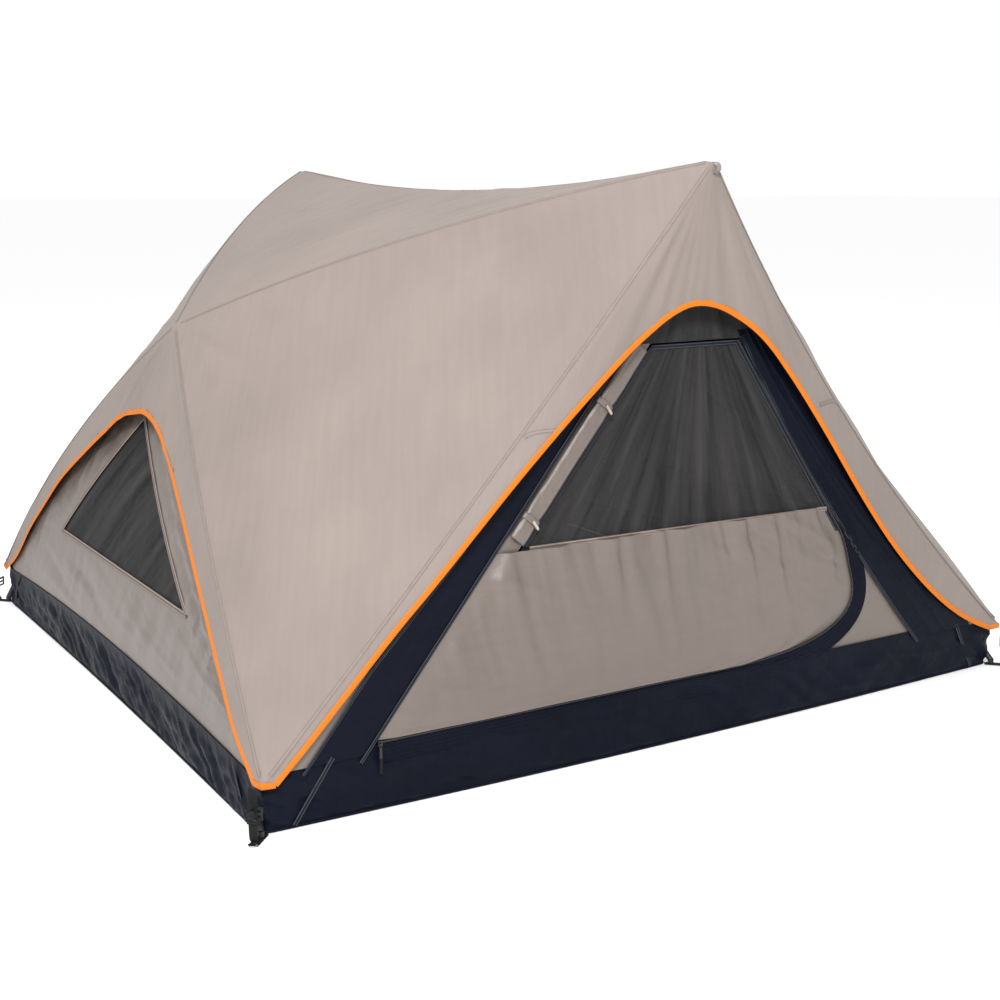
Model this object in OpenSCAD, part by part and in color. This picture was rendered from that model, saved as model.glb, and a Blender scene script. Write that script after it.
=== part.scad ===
// A-frame tent: a sloping fly over an inner tent, on two crossed hoops of poles.
// Origin: centre of the footprint, on the ground. +Z is up and -Y is the front door.

/* [Size] */
// Width of the floor, across the doors
floor_w = 2400; // [2100:10:2700]
// Length of the floor, from door to door
floor_l = 2340; // [2100:10:2600]
// Height of the fly at the front and back peaks
ridge_h = 1500; // [1400:10:1650]
// Height of the fly at the two side shoulders
shoulder_h = 1050; // [980:10:1120]
// How far each shoulder stands in from the floor's side edge
shoulder_in = 254; // [230:2:300]
// How far each peak leans out past the floor's end edge
peak_out = 50; // [30:5:80]
// Height of the fly's lower corners
fly_corner_h = 130; // [120:5:160]

/* [Fabric] */
// Thickness that stands for a layer of fabric
cloth = 2; // [1.6:0.2:3]
// Gap left along each seam between two panels
seam = 7; // [6:1:10]
// Height of the waterproof floor's turned-up wall
tub_h = 150; // [130:5:160]

/* [Arches] */
// Height of the door arches cut in the fly
arch_h = 1155; // [1120:5:1170]
// Radius at the top of the door arches
arch_r = 160; // [140:5:190]
// Height of the side arches cut in the fly
side_arch_h = 812; // [780:1:820]
// Radius at the top of the side arches
side_arch_r = 200; // [160:5:220]
// Slope of the door arch's legs, measured from upright at the tangent
arch_turn = 47; // [46:0.5:48]
// Slope of the side arch's legs, measured the same way
side_arch_turn = 56; // [55:0.5:57]
// Radius of the coloured piping along the arches
piping_r = 4; // [3:0.5:5]

/* [Door] */
// Height of the door's lower edge
door_base = 170; // [165:1:180]
// Height of the seam between the door's panel and its mesh
door_seam = 575; // [540:5:600]
// Height of the top of the moving door
door_top = 1050; // [1030:5:1055]
// Doorway's hinge side, from the middle, at the door's lower edge
hinge_base = 915; // [900:5:920]
// Doorway's hinge side, from the middle, at the door's top
hinge_top = 198; // [190:1:205]
// Doorway's zip side, from the middle, at the door's lower edge
zip_base = 815; // [800:5:825]
// Doorway's zip side, from the middle, at the door's top
zip_top = 168; // [160:1:172]
// Width of the strip that the door hangs from
strip_w = 70; // [64:1:75]
// Width of the band that carries the zip
zip_w = 56; // [50:1:60]

/* [Side windows] */
// Height of the window's lower edge
window_base = 355; // [330:5:370]
// Height of the window's top corner
window_top = 815; // [780:5:830]
// Half width of the window at its lower edge
window_half = 570; // [540:5:600]
// How far the window stands behind the middle
side_shift = 20; // [0:5:40]

/* [Poles] */
// Outside radius of the fibreglass tube
pole_r = 5.5; // [4.75:0.25:6]
// Sections in each leg and in each arm
sections = 3; // [2:1:4]
// How far the middle of each leg bows out of its straight line
leg_bow = 40; // [10:2:44]
// How far the middle of each arm bows up
arm_bow = 24; // [10:2:30]
// Radius of the hole in a ground-peg eyelet
eyelet_r = 6; // [5:0.5:7]

/* [Hidden] */
half_w = floor_w / 2;
half_l = floor_l / 2;
clear = 0.3;

// Fly: its four lower corners, two peaks and two shoulders
fly_peak = [0, -half_l - peak_out, ridge_h];
fly_shoulder = [-half_w + shoulder_in, 0, shoulder_h];
fly_corner = [-half_w, -half_l - 2, fly_corner_h];

// Poles: foot, shoulder and crown of one quarter
pole_foot = [-half_w + 2, -half_l + 18, 14];
pole_shoulder = fly_shoulder + [41, 0, -42];
pole_crown = fly_peak + [0, 42, -42];

// Inner tent: the plane of each end wall and each side wall, and its corners
end_y = -half_l + 8;
side_x = half_w - 3;
in_peak = fly_peak + [0, 78, -106];
in_shoulder = fly_shoulder + [46, 0, -100];
in_corner_x = half_w - 65;
in_corner_y = half_l - 85;
gore_corner = [-half_w + 58, -half_l + 42, tub_h];
tub_gap = 4;

// Fly corner straps and the ground anchors
webbing_w = 25;
webbing_t = 2;
anchor_out = 44;
anchor_t = 3;
eyelet_lip = 4;
eyelet_t = 5;

// Poles, in detail
tube_wall = 1.6;
cord_r = 1.25;
ferrule_wall = 1.3;
ferrule_l = 70;
slip = 0.06;
socket_wall = 4;
socket_l = 64;
socket_bore = 46;
socket_clear = 0.45;
hub_r = 13;
tip_pin_r = 4;
clip_w = 14;
clip_wall = 2.5;

// Smoothness of the drawn curves
arch_steps = 12;
curve_steps = 6;

// Feet of the floor's walls, at the ground
tub_foot_x = half_w - 52;
tub_foot_y = half_l - 62;
tub_side_x = half_w - 22;

// Door details
door_gap = 7;
facing_lift = 4;
roll_w = 42;
roll_t = 14;
roll_lift = roll_t / 2 + 3.5;
loop_w = 12;
slider_lift = 6.5;
piping_base = 150;

// Strap and buckle details
strap_foot = 24;
strap_base = 7;
strap_lean = 3;
buckle_w = 34;
buckle_l = 30;
buckle_t = 4;
buckle_up = 48;
tab_w = 12;

taupe = [0.71, 0.66, 0.62];
light_taupe = [0.75, 0.70, 0.66];
navy = [0.12, 0.14, 0.18];
mesh_grey = [0.2, 0.2, 0.2];
orange = [1.0, 0.5, 0.13];
black = [0.05, 0.05, 0.05];
steel = [0.72, 0.72, 0.74];

// ---- Geometry helpers ----

function unit(v) = v / norm(v);
function mid(a, b, t) = a + (b - a) * t;
function swap_x(p) = [-p.x, p.y, p.z];
function swap_y(p) = [p.x, -p.y, p.z];

// Axes of the plane through three points: X from the first to the second, Z its normal
function plane_x(p) = unit(p[1] - p[0]);
function plane_z(p) = unit(cross(p[1] - p[0], p[2] - p[0]));
function plane_y(p) = cross(plane_z(p), plane_x(p));
function in_plane(p, q) = [(q - p[0]) * plane_x(p), (q - p[0]) * plane_y(p)];

// A triangle moved in from its three edges by d
function side_lengths(p) = [norm(p[1] - p[2]), norm(p[2] - p[0]), norm(p[0] - p[1])];
function total(s) = s[0] + s[1] + s[2];
function incentre(p, s) = (p[0] * s[0] + p[1] * s[1] + p[2] * s[2]) / total(s);
function inradius(p, s) = norm(cross(p[1] - p[0], p[2] - p[0])) / total(s);
function shrink(p, d) = let (s = side_lengths(p), c = incentre(p, s), k = 1 - d / inradius(p, s))
    [for (q = p) c + (q - c) * k];

// Draws children in the plane through three points
module on_plane(p) {
    x = plane_x(p);
    y = plane_y(p);
    z = plane_z(p);
    o = p[0];
    multmatrix([[x.x, y.x, z.x, o.x], [x.y, y.y, z.y, o.y], [x.z, y.z, z.z, o.z], [0, 0, 0, 1]])
        children();
}

// A layer of cloth of the outline drawn by its children, lift outside its plane
module cloth_layer(lift = 0) {
    translate([0, 0, lift - cloth / 2])
        linear_extrude(cloth)
            children();
}

// A flat triangle of cloth between three points, with its seams left open
module cloth_triangle(p, gap = seam) {
    q = shrink(p, gap);
    on_plane(q)
        cloth_layer()
            polygon([for (c = q) in_plane(q, c)]);
}

// A round bar from a to b
module bar(a, b, r) {
    d = b - a;
    translate(a)
        rotate([0, acos(d.z / norm(d)), atan2(d.y, d.x)])
            cylinder(h = norm(d), r = r, $fn = 32);
}

// Repeats for the front and back, or for the two sides
module half_turn(k) {
    rotate([0, 0, 180 * k])
        children();
}

// Repeats for all four quarters of the tent
module four_quarters() {
    for (sx = [0, 1], sy = [0, 1])
        mirror([sx, 0, 0])
            mirror([0, sy, 0])
                children();
}

// ---- Planes of the tent ----

// Each end's plane has X along the width, and each side's has X along the length.
// Their origins are on the ground line, in the middle, and Y climbs the slope.
fly_end_lean = (fly_peak.y - fly_corner.y) / (ridge_h - fly_corner_h);
fly_end_foot = [0, fly_corner.y - fly_end_lean * fly_corner_h, 0];
fly_end = [fly_end_foot, fly_end_foot + [1, 0, 0], fly_peak];
fly_side_lean = shoulder_in / (shoulder_h - fly_corner_h);
fly_side_foot = [fly_corner.x - fly_side_lean * fly_corner_h, 0, 0];
fly_side = [fly_side_foot, fly_side_foot + [0, -1, 0], fly_shoulder];
fly_side_rise = norm([1, fly_side_lean]);
in_end = [[0, end_y, 0], [1, end_y, 0], in_peak];
in_side = [[-side_x, 0, 0], [-side_x, -1, 0], in_shoulder];
in_side_rise = norm([1, (in_shoulder.x + side_x) / in_shoulder.z]);
tub_side = [[-tub_side_x, 0, 0], [-tub_side_x, -1, 0], in_side_at(tub_h)];

// Point in the middle of the inner side wall at a height
function in_side_at(h) = [-side_x + (in_shoulder.x + side_x) * h / in_shoulder.z, 0, h];

// Outer edge of the inner tent's end wall and side wall at a height
function end_edge(h) = in_corner_x * (in_peak.z - h) / (in_peak.z - tub_h);
function side_edge(h) = in_corner_y * (in_shoulder.z - h) / (in_shoulder.z - tub_h);

// ---- Arches ----

// Centre, end of the round top and foot of an arch's leg, moved out by d
function arch_centre(top, r) = [0, top - r];
function arch_tangent(top, r, turn, d) = arch_centre(top, r) + (r + d) * [cos(turn), sin(turn)];
function arch_foot(top, r, turn, d, base) = let (t = arch_tangent(top, r, turn, d))
    t + [sin(turn), -cos(turn)] * (t.y - base) / cos(turn);

// Outline of an arch's opening, moved out by d and open down to the height base
function arch_outline(top, r, turn, d, base) = concat(
    [arch_foot(top, r, turn, d, base)],
    [for (i = [0:arch_steps]) let (a = turn + (180 - 2 * turn) * i / arch_steps)
        arch_centre(top, r) + (r + d) * [cos(a), sin(a)]],
    [swap_side(arch_foot(top, r, turn, d, base))]);
function swap_side(p) = [-p.x, p.y];

// Piping along an arch, from the height base on one side to the other
module arch_piping(top, r, turn, base) {
    foot = arch_foot(top, r, turn, 0, base);
    start = arch_tangent(top, r, turn, 0) + slip * [sin(turn), -cos(turn)];
    for (k = [-1, 1])
        bar([k * foot.x, foot.y, 0], [k * start.x, start.y, 0], piping_r);
    translate([0, top - r, 0])
        rotate([0, 0, turn])
            rotate_extrude(angle = 180 - 2 * turn, $fn = 64)
                translate([r, 0])
                    circle(piping_r, $fn = 24);
}

// ---- Inner tent: floor and walls ----

module floor_sheet() {
    x0 = half_w - 48;
    x1 = half_w - 18;
    y0 = half_l - 4;
    y1 = half_l - 52;
    color(navy)
        linear_extrude(cloth)
            polygon([[-x0, -y0], [x0, -y0], [x1, -y1], [x1, y1],
                [x0, y0], [-x0, y0], [-x1, y1], [-x1, -y1]]);
}

module bathtub_end() {
    color(navy)
        on_plane(in_end)
            cloth_layer()
                polygon([[-tub_foot_x, tub_gap], [tub_foot_x, tub_gap],
                    [in_corner_x, tub_h - tub_gap], [-in_corner_x, tub_h - tub_gap]]);
}

module bathtub_side() {
    color(navy)
        on_plane(tub_side)
            cloth_layer()
                polygon([[-tub_foot_y, tub_gap], [tub_foot_y, tub_gap],
                    [in_corner_y, tub_h - tub_gap], [-in_corner_y, tub_h - tub_gap]]);
}

module bathtub_front() bathtub_end();
module bathtub_back() half_turn(1) bathtub_end();
module bathtub_left() bathtub_side();
module bathtub_right() half_turn(1) bathtub_side();

// The corner of the floor's wall, cut off so that the pole's foot stands outside it
module bathtub_corners() {
    color(navy)
        four_quarters()
            cloth_triangle([[half_w - 44, half_l - 4, tub_gap], [half_w - 22, half_l - 50, tub_gap],
                [half_w - 78, half_l - 38, tub_h + 10]], tub_gap);
}

// ---- Inner tent: end walls ----

// Edges of the doorway at a height: the wall's band, the door's axis and the zip side
door_h = door_top - door_base;
function hinge_line(h) = -hinge_base + (hinge_base - hinge_top) * (h - door_base) / door_h;
function axis_line(h) = hinge_line(h) + strip_w;
function zip_line(h) = zip_base - (zip_base - zip_top) * (h - door_base) / door_h;

function bezier(a, b, c) = [for (i = [0:curve_steps]) let (t = i / curve_steps)
    a * (1 - t) * (1 - t) + b * 2 * t * (1 - t) + c * t * t];

// The zip's line: along the bottom, round the free corner and up the slope
zip_curve = concat(
    [[axis_line(door_base), door_base], [200, door_base]],
    bezier([340, door_base], [430, 172], [500, 228]),
    bezier([510, 236], [592, 280], [586, 370]),
    [[zip_line(500) - 14, 500]]);

// A path moved sideways by d, to the right of its direction
function path_way(p, i) = unit(p[min(i + 1, len(p) - 1)] - p[max(i - 1, 0)]);
function path_beside(p, d) = [for (i = [0:len(p) - 1]) let (w = path_way(p, i))
    p[i] + d * [w.y, -w.x]];
function reversed(p) = [for (i = [len(p) - 1:-1:0]) p[i]];

module band_left() {
    color(navy)
        on_plane(in_end)
            cloth_layer()
                polygon([[-end_edge(tub_h) + seam, tub_h], [hinge_line(tub_h) - tub_gap, tub_h],
                    [hinge_line(door_top) - tub_gap, door_top], [-end_edge(door_top) + seam, door_top]]);
}

module band_right() {
    color(navy)
        on_plane(in_end)
            cloth_layer()
                polygon([[zip_line(tub_h) + tub_gap, tub_h], [end_edge(tub_h) - seam, tub_h],
                    [end_edge(door_top) - seam, door_top], [zip_line(door_top) + tub_gap, door_top]]);
}

module hinge_strip() {
    color(taupe)
        on_plane(in_end)
            cloth_layer()
                polygon([[hinge_line(door_base), door_base], [axis_line(door_base) - tub_gap, door_base],
                    [axis_line(door_top) - tub_gap, door_top], [hinge_line(door_top), door_top]]);
}

module corner_gore() {
    edge = path_beside([for (i = [2:len(zip_curve) - 1]) zip_curve[i]], tub_gap);
    color(taupe)
        on_plane(in_end)
            cloth_layer()
                polygon(concat(edge, [[zip_line(480) - 1, 480], [zip_line(tub_h) - tub_gap, tub_h],
                    [edge[0].x, tub_h]]));
}

module zip_facing() {
    color(navy)
        on_plane(in_end)
            cloth_layer(facing_lift)
                polygon(concat(path_beside(zip_curve, zip_w), reversed(path_beside(zip_curve, 2))));
}

module top_mesh() {
    foot = door_top + seam;
    color(mesh_grey)
        on_plane(in_end)
            cloth_layer()
                polygon([[-end_edge(foot) + seam, foot], [end_edge(foot) - seam, foot],
                    [0, in_peak.z - 2 * seam]]);
}

module front_band_left() band_left();
module front_band_right() band_right();
module front_hinge_strip() hinge_strip();
module front_corner_gore() corner_gore();
module front_zip_facing() zip_facing();
module front_top_mesh() top_mesh();
module back_band_left() half_turn(1) band_left();
module back_band_right() half_turn(1) band_right();
module back_hinge_strip() half_turn(1) hinge_strip();
module back_corner_gore() half_turn(1) corner_gore();
module back_zip_facing() half_turn(1) zip_facing();
module back_top_mesh() half_turn(1) top_mesh();

// ---- Doors ----

module door_panel() {
    edge = path_beside(zip_curve, -door_gap);
    color(taupe)
        on_plane(in_end)
            cloth_layer()
                polygon(concat([[axis_line(door_base + door_gap) + door_gap, door_base + door_gap]],
                    [for (i = [1:len(edge) - 1]) edge[i]],
                    [[zip_line(door_seam) - door_gap, door_seam],
                    [axis_line(door_seam) + door_gap, door_seam]]));
}

module door_mesh() {
    foot = door_seam + tub_gap;
    color(mesh_grey)
        on_plane(in_end)
            cloth_layer()
                polygon([[axis_line(foot) + door_gap, foot], [zip_line(foot) - door_gap, foot],
                    [zip_line(door_top) - door_gap, door_top], [axis_line(door_top) + door_gap, door_top]]);
}

// Draws children along the middle of the hinge strip: X across it, Y out, Z up the strip
module along_strip(h) {
    a = [hinge_line(h) + strip_w / 2, h];
    turn = atan2(door_h, hinge_base - hinge_top);
    on_plane(in_end)
        translate([a.x, a.y, 0])
            rotate([0, 0, turn - 90])
                rotate([-90, 0, 0])
                    mirror([0, 1, 0])
                        children();
}

strip_len = norm([door_h, hinge_base - hinge_top]) * (door_top - door_seam) / door_h;

// The privacy panel, rolled up and laid flat along the hinge strip
module privacy_roll() {
    color(taupe)
        along_strip(door_seam)
            translate([0, roll_lift, 20])
                linear_extrude(strip_len - 40) {
                    square([roll_w - roll_t, roll_t], center = true);
                    for (k = [-1, 1])
                        translate([k * (roll_w - roll_t) / 2, 0])
                            circle(roll_t / 2, $fn = 32);
                }
}

// Two webbing loops round the roll, each with its toggle
module toggles() {
    for (z = [50, strip_len - 70])
        along_strip(door_seam)
            translate([0, roll_lift, z]) {
                color(taupe)
                    linear_extrude(loop_w)
                        difference() {
                            square([roll_w + 3.4, roll_t + 3.4], center = true);
                            square([roll_w + 0.8, roll_t + 0.8], center = true);
                        }
                color(black)
                    translate([-roll_w / 2 + 8, roll_t / 2 + 6.6, loop_w / 2])
                        rotate([0, 90, 0])
                            cylinder(h = 30, r = 4.5, $fn = 32);
            }
}

// Die-cast zip slider with its body, bridge and pull tab
module zip_slider() {
    color(black)
        on_plane(in_end)
            translate([-hinge_base + 12, door_base, slider_lift]) {
                translate([-6, -6, 0])
                    cube([12, 12, 3]);
                translate([-4, -1.5, 3])
                    cube([8, 3, 3]);
                translate([-3.5, -44, 3.4])
                    difference() {
                        cube([7, 42, 1.8]);
                        translate([2, 34.5, -1])
                            cube([3, 5, 4]);
                    }
            }
}

module front_door_panel() door_panel();
module front_door_mesh() door_mesh();
module front_privacy_roll() privacy_roll();
module front_zip_slider() zip_slider();
module back_door_panel() half_turn(1) door_panel();
module back_door_mesh() half_turn(1) door_mesh();
module back_privacy_roll() half_turn(1) privacy_roll();
module back_zip_slider() half_turn(1) zip_slider();
module roll_toggles() {
    for (k = [0, 1])
        half_turn(k)
            toggles();
}

// ---- Inner tent: side walls, gores and roof ----

function side_point(y, h) = [-y, h * in_side_rise];
window_corners = [side_point(side_shift + window_half, window_base),
    side_point(side_shift - window_half, window_base), side_point(side_shift, window_top)];

// Draws the window's outline in the side's plane, moved in by d
module window_outline(d) {
    polygon([for (q = shrink([for (c = window_corners) [c.x, c.y, 0]], d)) [q.x, q.y]]);
}

module side_wall() {
    color(taupe)
        on_plane(in_side)
            cloth_layer()
                difference() {
                    polygon([side_point(side_edge(tub_h) - seam, tub_h),
                        side_point(-side_edge(tub_h) + seam, tub_h),
                        side_point(0, in_shoulder.z - 2 * seam)]);
                    window_outline(0);
                }
}

module side_window() {
    color(mesh_grey)
        on_plane(in_side)
            cloth_layer()
                window_outline(tub_gap);
}

module side_wall_left() side_wall();
module side_window_left() side_window();
module side_wall_right() mirror([1, 0, 0]) side_wall();
module side_window_right() mirror([1, 0, 0]) side_window();

// One end's pair of gores, between the end wall and the two side walls
module inner_gores(end) {
    color(light_taupe)
        for (k = [0, 1])
            mirror([k, 0, 0])
                mirror([0, end, 0])
                    cloth_triangle([gore_corner, in_peak, in_shoulder], 2 * seam);
}

module inner_roof() {
    color(light_taupe)
        cloth_triangle([in_peak, in_shoulder, swap_y(in_peak)], 2 * seam);
}

module inner_gores_front() inner_gores(0);
module inner_gores_back() inner_gores(1);
module inner_roof_left() inner_roof();
module inner_roof_right() mirror([1, 0, 0]) inner_roof();

// ---- Fly ----

module fly_roof() {
    color(light_taupe)
        cloth_triangle([fly_peak, fly_shoulder, swap_y(fly_peak)]);
}

module fly_gore() {
    color(taupe)
        cloth_triangle([fly_corner, fly_peak, fly_shoulder]);
}

// End panel of the fly, with the arch over the door cut out of it
module fly_gable() {
    outer = shrink([fly_corner, swap_x(fly_corner), fly_peak], seam);
    color(taupe)
        on_plane(fly_end)
            cloth_layer()
                difference() {
                    polygon([for (q = outer) in_plane(fly_end, q)]);
                    polygon(arch_outline(arch_h, arch_r, arch_turn, piping_r + clear, 0));
                }
}

module fly_gusset() {
    outer = shrink([fly_corner, swap_y(fly_corner), fly_shoulder], seam);
    color(taupe)
        on_plane(fly_side)
            cloth_layer()
                difference() {
                    polygon([for (q = outer) in_plane(fly_side, q)]);
                    polygon(arch_outline(side_arch_h * fly_side_rise, side_arch_r,
                        side_arch_turn, piping_r + clear, 0));
                }
}

module fly_roof_left() fly_roof();
module fly_roof_right() mirror([1, 0, 0]) fly_roof();
module fly_gore_front_left() fly_gore();
module fly_gore_front_right() mirror([1, 0, 0]) fly_gore();
module fly_gore_back_left() mirror([0, 1, 0]) fly_gore();
module fly_gore_back_right() half_turn(1) fly_gore();
module fly_gable_front() fly_gable();
module fly_gable_back() half_turn(1) fly_gable();
module fly_gusset_left() fly_gusset();
module fly_gusset_right() mirror([1, 0, 0]) fly_gusset();

module gable_piping() {
    color(orange)
        for (k = [0, 1])
            half_turn(k)
                on_plane(fly_end)
                    arch_piping(arch_h, arch_r, arch_turn, piping_base);
}

module gusset_piping() {
    color(orange)
        for (k = [0, 1])
            mirror([k, 0, 0])
                on_plane(fly_side)
                    arch_piping(side_arch_h * fly_side_rise, side_arch_r, side_arch_turn,
                        piping_base * fly_side_rise);
}

// ---- Webbing, buckles and anchors ----

// Draws children at a corner's pole foot, X running out along the diagonal
module at_foot() {
    translate([-pole_foot.x, -pole_foot.y, 0])
        rotate([0, 0, 45])
            children();
}

// Webbing from the fly's corner down to the anchor
module fly_straps() {
    color(black)
        four_quarters()
            at_foot()
                translate([strap_foot, 0, strap_base])
                    rotate([0, -strap_lean, 0])
                        translate([0, -webbing_w / 2, 0])
                            cube([webbing_t, webbing_w, fly_corner_h - strap_base - 12]);
}

// Ladder-lock buckle on the face of each strap: three bars between two sides
module ladder_buckles() {
    color(black)
        four_quarters()
            at_foot()
                translate([strap_foot, 0, strap_base])
                    rotate([0, -strap_lean, 0])
                        translate([webbing_t + clear, -buckle_w / 2, buckle_up])
                            difference() {
                                cube([buckle_t, buckle_w, buckle_l]);
                                for (z = [5, 17])
                                    translate([-1, 4, z])
                                        cube([buckle_t + 2, buckle_w - 8, 7]);
                            }
}

// Webbing loop at the outside of each peak, for a guy line
module peak_tabs() {
    color(black)
        for (k = [0, 1])
            half_turn(k)
                translate([0, fly_peak.y - 14, ridge_h - 22])
                    rotate([0, 90, 0])
                        linear_extrude(tab_w, center = true)
                            difference() {
                                circle(11, $fn = 48);
                                circle(9, $fn = 48);
                            }
}

// Flat webbing tab on the ground at each corner, with holes for the pole's tip and the eyelet
module corner_anchors() {
    color(black)
        four_quarters()
            at_foot()
                difference() {
                    union() {
                        translate([-16, -webbing_w / 2, 0])
                            cube([16 + anchor_out, webbing_w, anchor_t]);
                        translate([anchor_out, 0, 0])
                            cylinder(h = anchor_t, r = webbing_w / 2, $fn = 48);
                    }
                    translate([0, 0, -1])
                        cylinder(h = anchor_t + 2, r = tip_pin_r + clear, $fn = 48);
                    translate([anchor_out, 0, -1])
                        cylinder(h = anchor_t + 2, r = eyelet_r + 1.2, $fn = 48);
                }
}

// Pressed eyelet through each anchor, for a ground peg
module peg_eyelets() {
    color(steel)
        four_quarters()
            at_foot()
                translate([anchor_out, 0, 0])
                    rotate_extrude($fn = 64) {
                        translate([eyelet_r, 0])
                            square([1.1, eyelet_t]);
                        translate([eyelet_r, anchor_t + 0.2])
                            square([eyelet_lip, eyelet_t - anchor_t - 0.2]);
                    }
}

// ---- Poles ----

// A bowed pole: its two ends, the direction that it bows in and how far
leg = [pole_foot, pole_shoulder, [-0.6, -0.44, 0.68], leg_bow];
arm = [pole_shoulder, pole_crown, [-0.6, -0.17, 0.78], arm_bow];

// Its arc: along the straight line, out of it, and the circle's radius, centre and half angle
function bow_along(p) = unit(p[1] - p[0]);
function bow_out(p) = unit(p[2] - bow_along(p) * (p[2] * bow_along(p)));
function bow_r(p) = (pow(norm(p[1] - p[0]) / 2, 2) + p[3] * p[3]) / (2 * p[3]);
function bow_centre(p) = mid(p[0], p[1], 0.5) + bow_out(p) * (p[3] - bow_r(p));
function bow_half(p) = asin(norm(p[1] - p[0]) / 2 / bow_r(p));
function bow_turn(p, d) = d / bow_r(p) * 180 / PI;
function bow_len(p) = 2 * bow_half(p) * PI / 180 * bow_r(p);

// Point on the arc at a distance from its start, and the arc's direction there
function bow_point(p, d) = let (a = bow_turn(p, d) - bow_half(p))
    bow_centre(p) + bow_r(p) * (bow_out(p) * cos(a) + bow_along(p) * sin(a));
function bow_way(p, d) = let (a = bow_turn(p, d) - bow_half(p))
    bow_along(p) * cos(a) - bow_out(p) * sin(a);

// Sweeps the section drawn by its children along the arc, from one distance to another
module along_bow(p, d0, d1) {
    x = bow_out(p);
    y = bow_along(p);
    z = cross(x, y);
    o = bow_centre(p);
    multmatrix([[x.x, y.x, z.x, o.x], [x.y, y.y, z.y, o.y], [x.z, y.z, z.z, o.z], [0, 0, 0, 1]])
        rotate([0, 0, bow_turn(p, d0) - bow_half(p)])
            rotate_extrude(angle = bow_turn(p, d1 - d0), $fn = 1080)
                translate([bow_r(p), 0])
                    children();
}

module ring_section(inner, outer) {
    difference() {
        circle(outer, $fn = 32);
        circle(inner, $fn = 32);
    }
}

// Where a tube starts in the foot's socket, and how far short of a hub's centre it stops
foot_gap = 24;
hub_gap = socket_l - socket_bore;

// A tube in sections, end to end, between two distances
module tube_sections(p, d0, d1) {
    step = (d1 - d0) / sections;
    for (i = [0:sections - 1])
        along_bow(p, d0 + step * i + slip, d0 + step * (i + 1) - slip)
            ring_section(pole_r - tube_wall, pole_r);
}

module tube_ferrules(p, d0, d1) {
    step = (d1 - d0) / sections;
    for (i = [1:sections - 1])
        along_bow(p, d0 + step * i - ferrule_l / 2, d0 + step * i + ferrule_l / 2)
            ring_section(pole_r + slip, pole_r + slip + ferrule_wall);
}

// The bars are written for the front left quarter, and the quarters start from the back right
module mirrored_bar() {
    four_quarters()
        half_turn(1)
            children();
}

module pole_legs() {
    color([0.16, 0.16, 0.17])
        mirrored_bar()
            tube_sections(leg, foot_gap, bow_len(leg) - hub_gap);
}

module pole_arms() {
    color([0.16, 0.16, 0.17])
        mirrored_bar()
            tube_sections(arm, hub_gap, bow_len(arm) - hub_gap);
}

module pole_ferrules() {
    color(steel)
        mirrored_bar() {
            tube_ferrules(leg, foot_gap, bow_len(leg) - hub_gap);
            tube_ferrules(arm, hub_gap, bow_len(arm) - hub_gap);
        }
}

// A socket from a hub's centre along a direction
module socket(centre, way) {
    bar(centre, centre + way * socket_l, pole_r + socket_wall);
}

module socket_hole(centre, way) {
    bar(centre + way * (socket_l - socket_bore - 1), centre + way * (socket_l + 1),
        pole_r + socket_clear);
}

module hub(centre, ways) {
    difference() {
        union() {
            translate(centre)
                sphere(hub_r, $fn = 48);
            for (way = ways)
                socket(centre, way);
        }
        for (way = ways)
            socket_hole(centre, way);
    }
}

module shoulder_hubs() {
    down = -bow_way(leg, bow_len(leg));
    up = bow_way(arm, 0);
    color(black)
        for (k = [0, 1])
            mirror([k, 0, 0])
                hub(pole_shoulder, [down, swap_y(down), up, swap_y(up)]);
}

module crown_elbows() {
    down = -bow_way(arm, bow_len(arm));
    color(black)
        for (k = [0, 1])
            half_turn(k)
                hub(pole_crown, [down, swap_x(down)]);
}

// Moulded foot on each leg, with a pin that stands in the anchor's hole
module foot_tips() {
    way = bow_way(leg, 0);
    color(black)
        mirrored_bar()
            difference() {
                union() {
                    bar(pole_foot, pole_foot + way * 58, pole_r + 3);
                    translate([pole_foot.x, pole_foot.y, anchor_t + clear])
                        cylinder(h = pole_foot.z, r = pole_r + 3, $fn = 48);
                    translate([pole_foot.x, pole_foot.y, 0.5])
                        cylinder(h = pole_foot.z, r = tip_pin_r, $fn = 48);
                }
                bar(pole_foot + way * (foot_gap - 0.5), pole_foot + way * 60, pole_r + socket_clear);
            }
}

// Elastic cord inside each tube, which keeps its sections together
module shock_cords() {
    color(black)
        mirrored_bar() {
            along_bow(leg, foot_gap + 1, bow_len(leg) - hub_gap - 1)
                circle(cord_r, $fn = 32);
            along_bow(arm, hub_gap + 1, bow_len(arm) - hub_gap - 1)
                circle(cord_r, $fn = 32);
        }
}

// Clips that hang the inner tent from the poles: a ring on the tube and a short tape
module hang_clip(p, t, target) {
    d = bow_len(p) * t;
    c = bow_point(p, d);
    half = bow_way(p, d) * clip_w / 2;
    way = unit(target - c);
    difference() {
        union() {
            bar(c - half, c + half, pole_r + clip_wall);
            bar(c, c + way * (norm(target - c) - 14), 3);
        }
        bar(c - half * 3, c + half * 3, pole_r + 2 * slip);
    }
}

module hang_clips() {
    color(black)
        mirrored_bar() {
            for (t = [0.42, 0.76])
                hang_clip(leg, t, mid(gore_corner, in_shoulder, t));
            for (t = [0.27, 0.72])
                hang_clip(arm, t, mid(in_shoulder, in_peak, t));
        }
}

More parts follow.
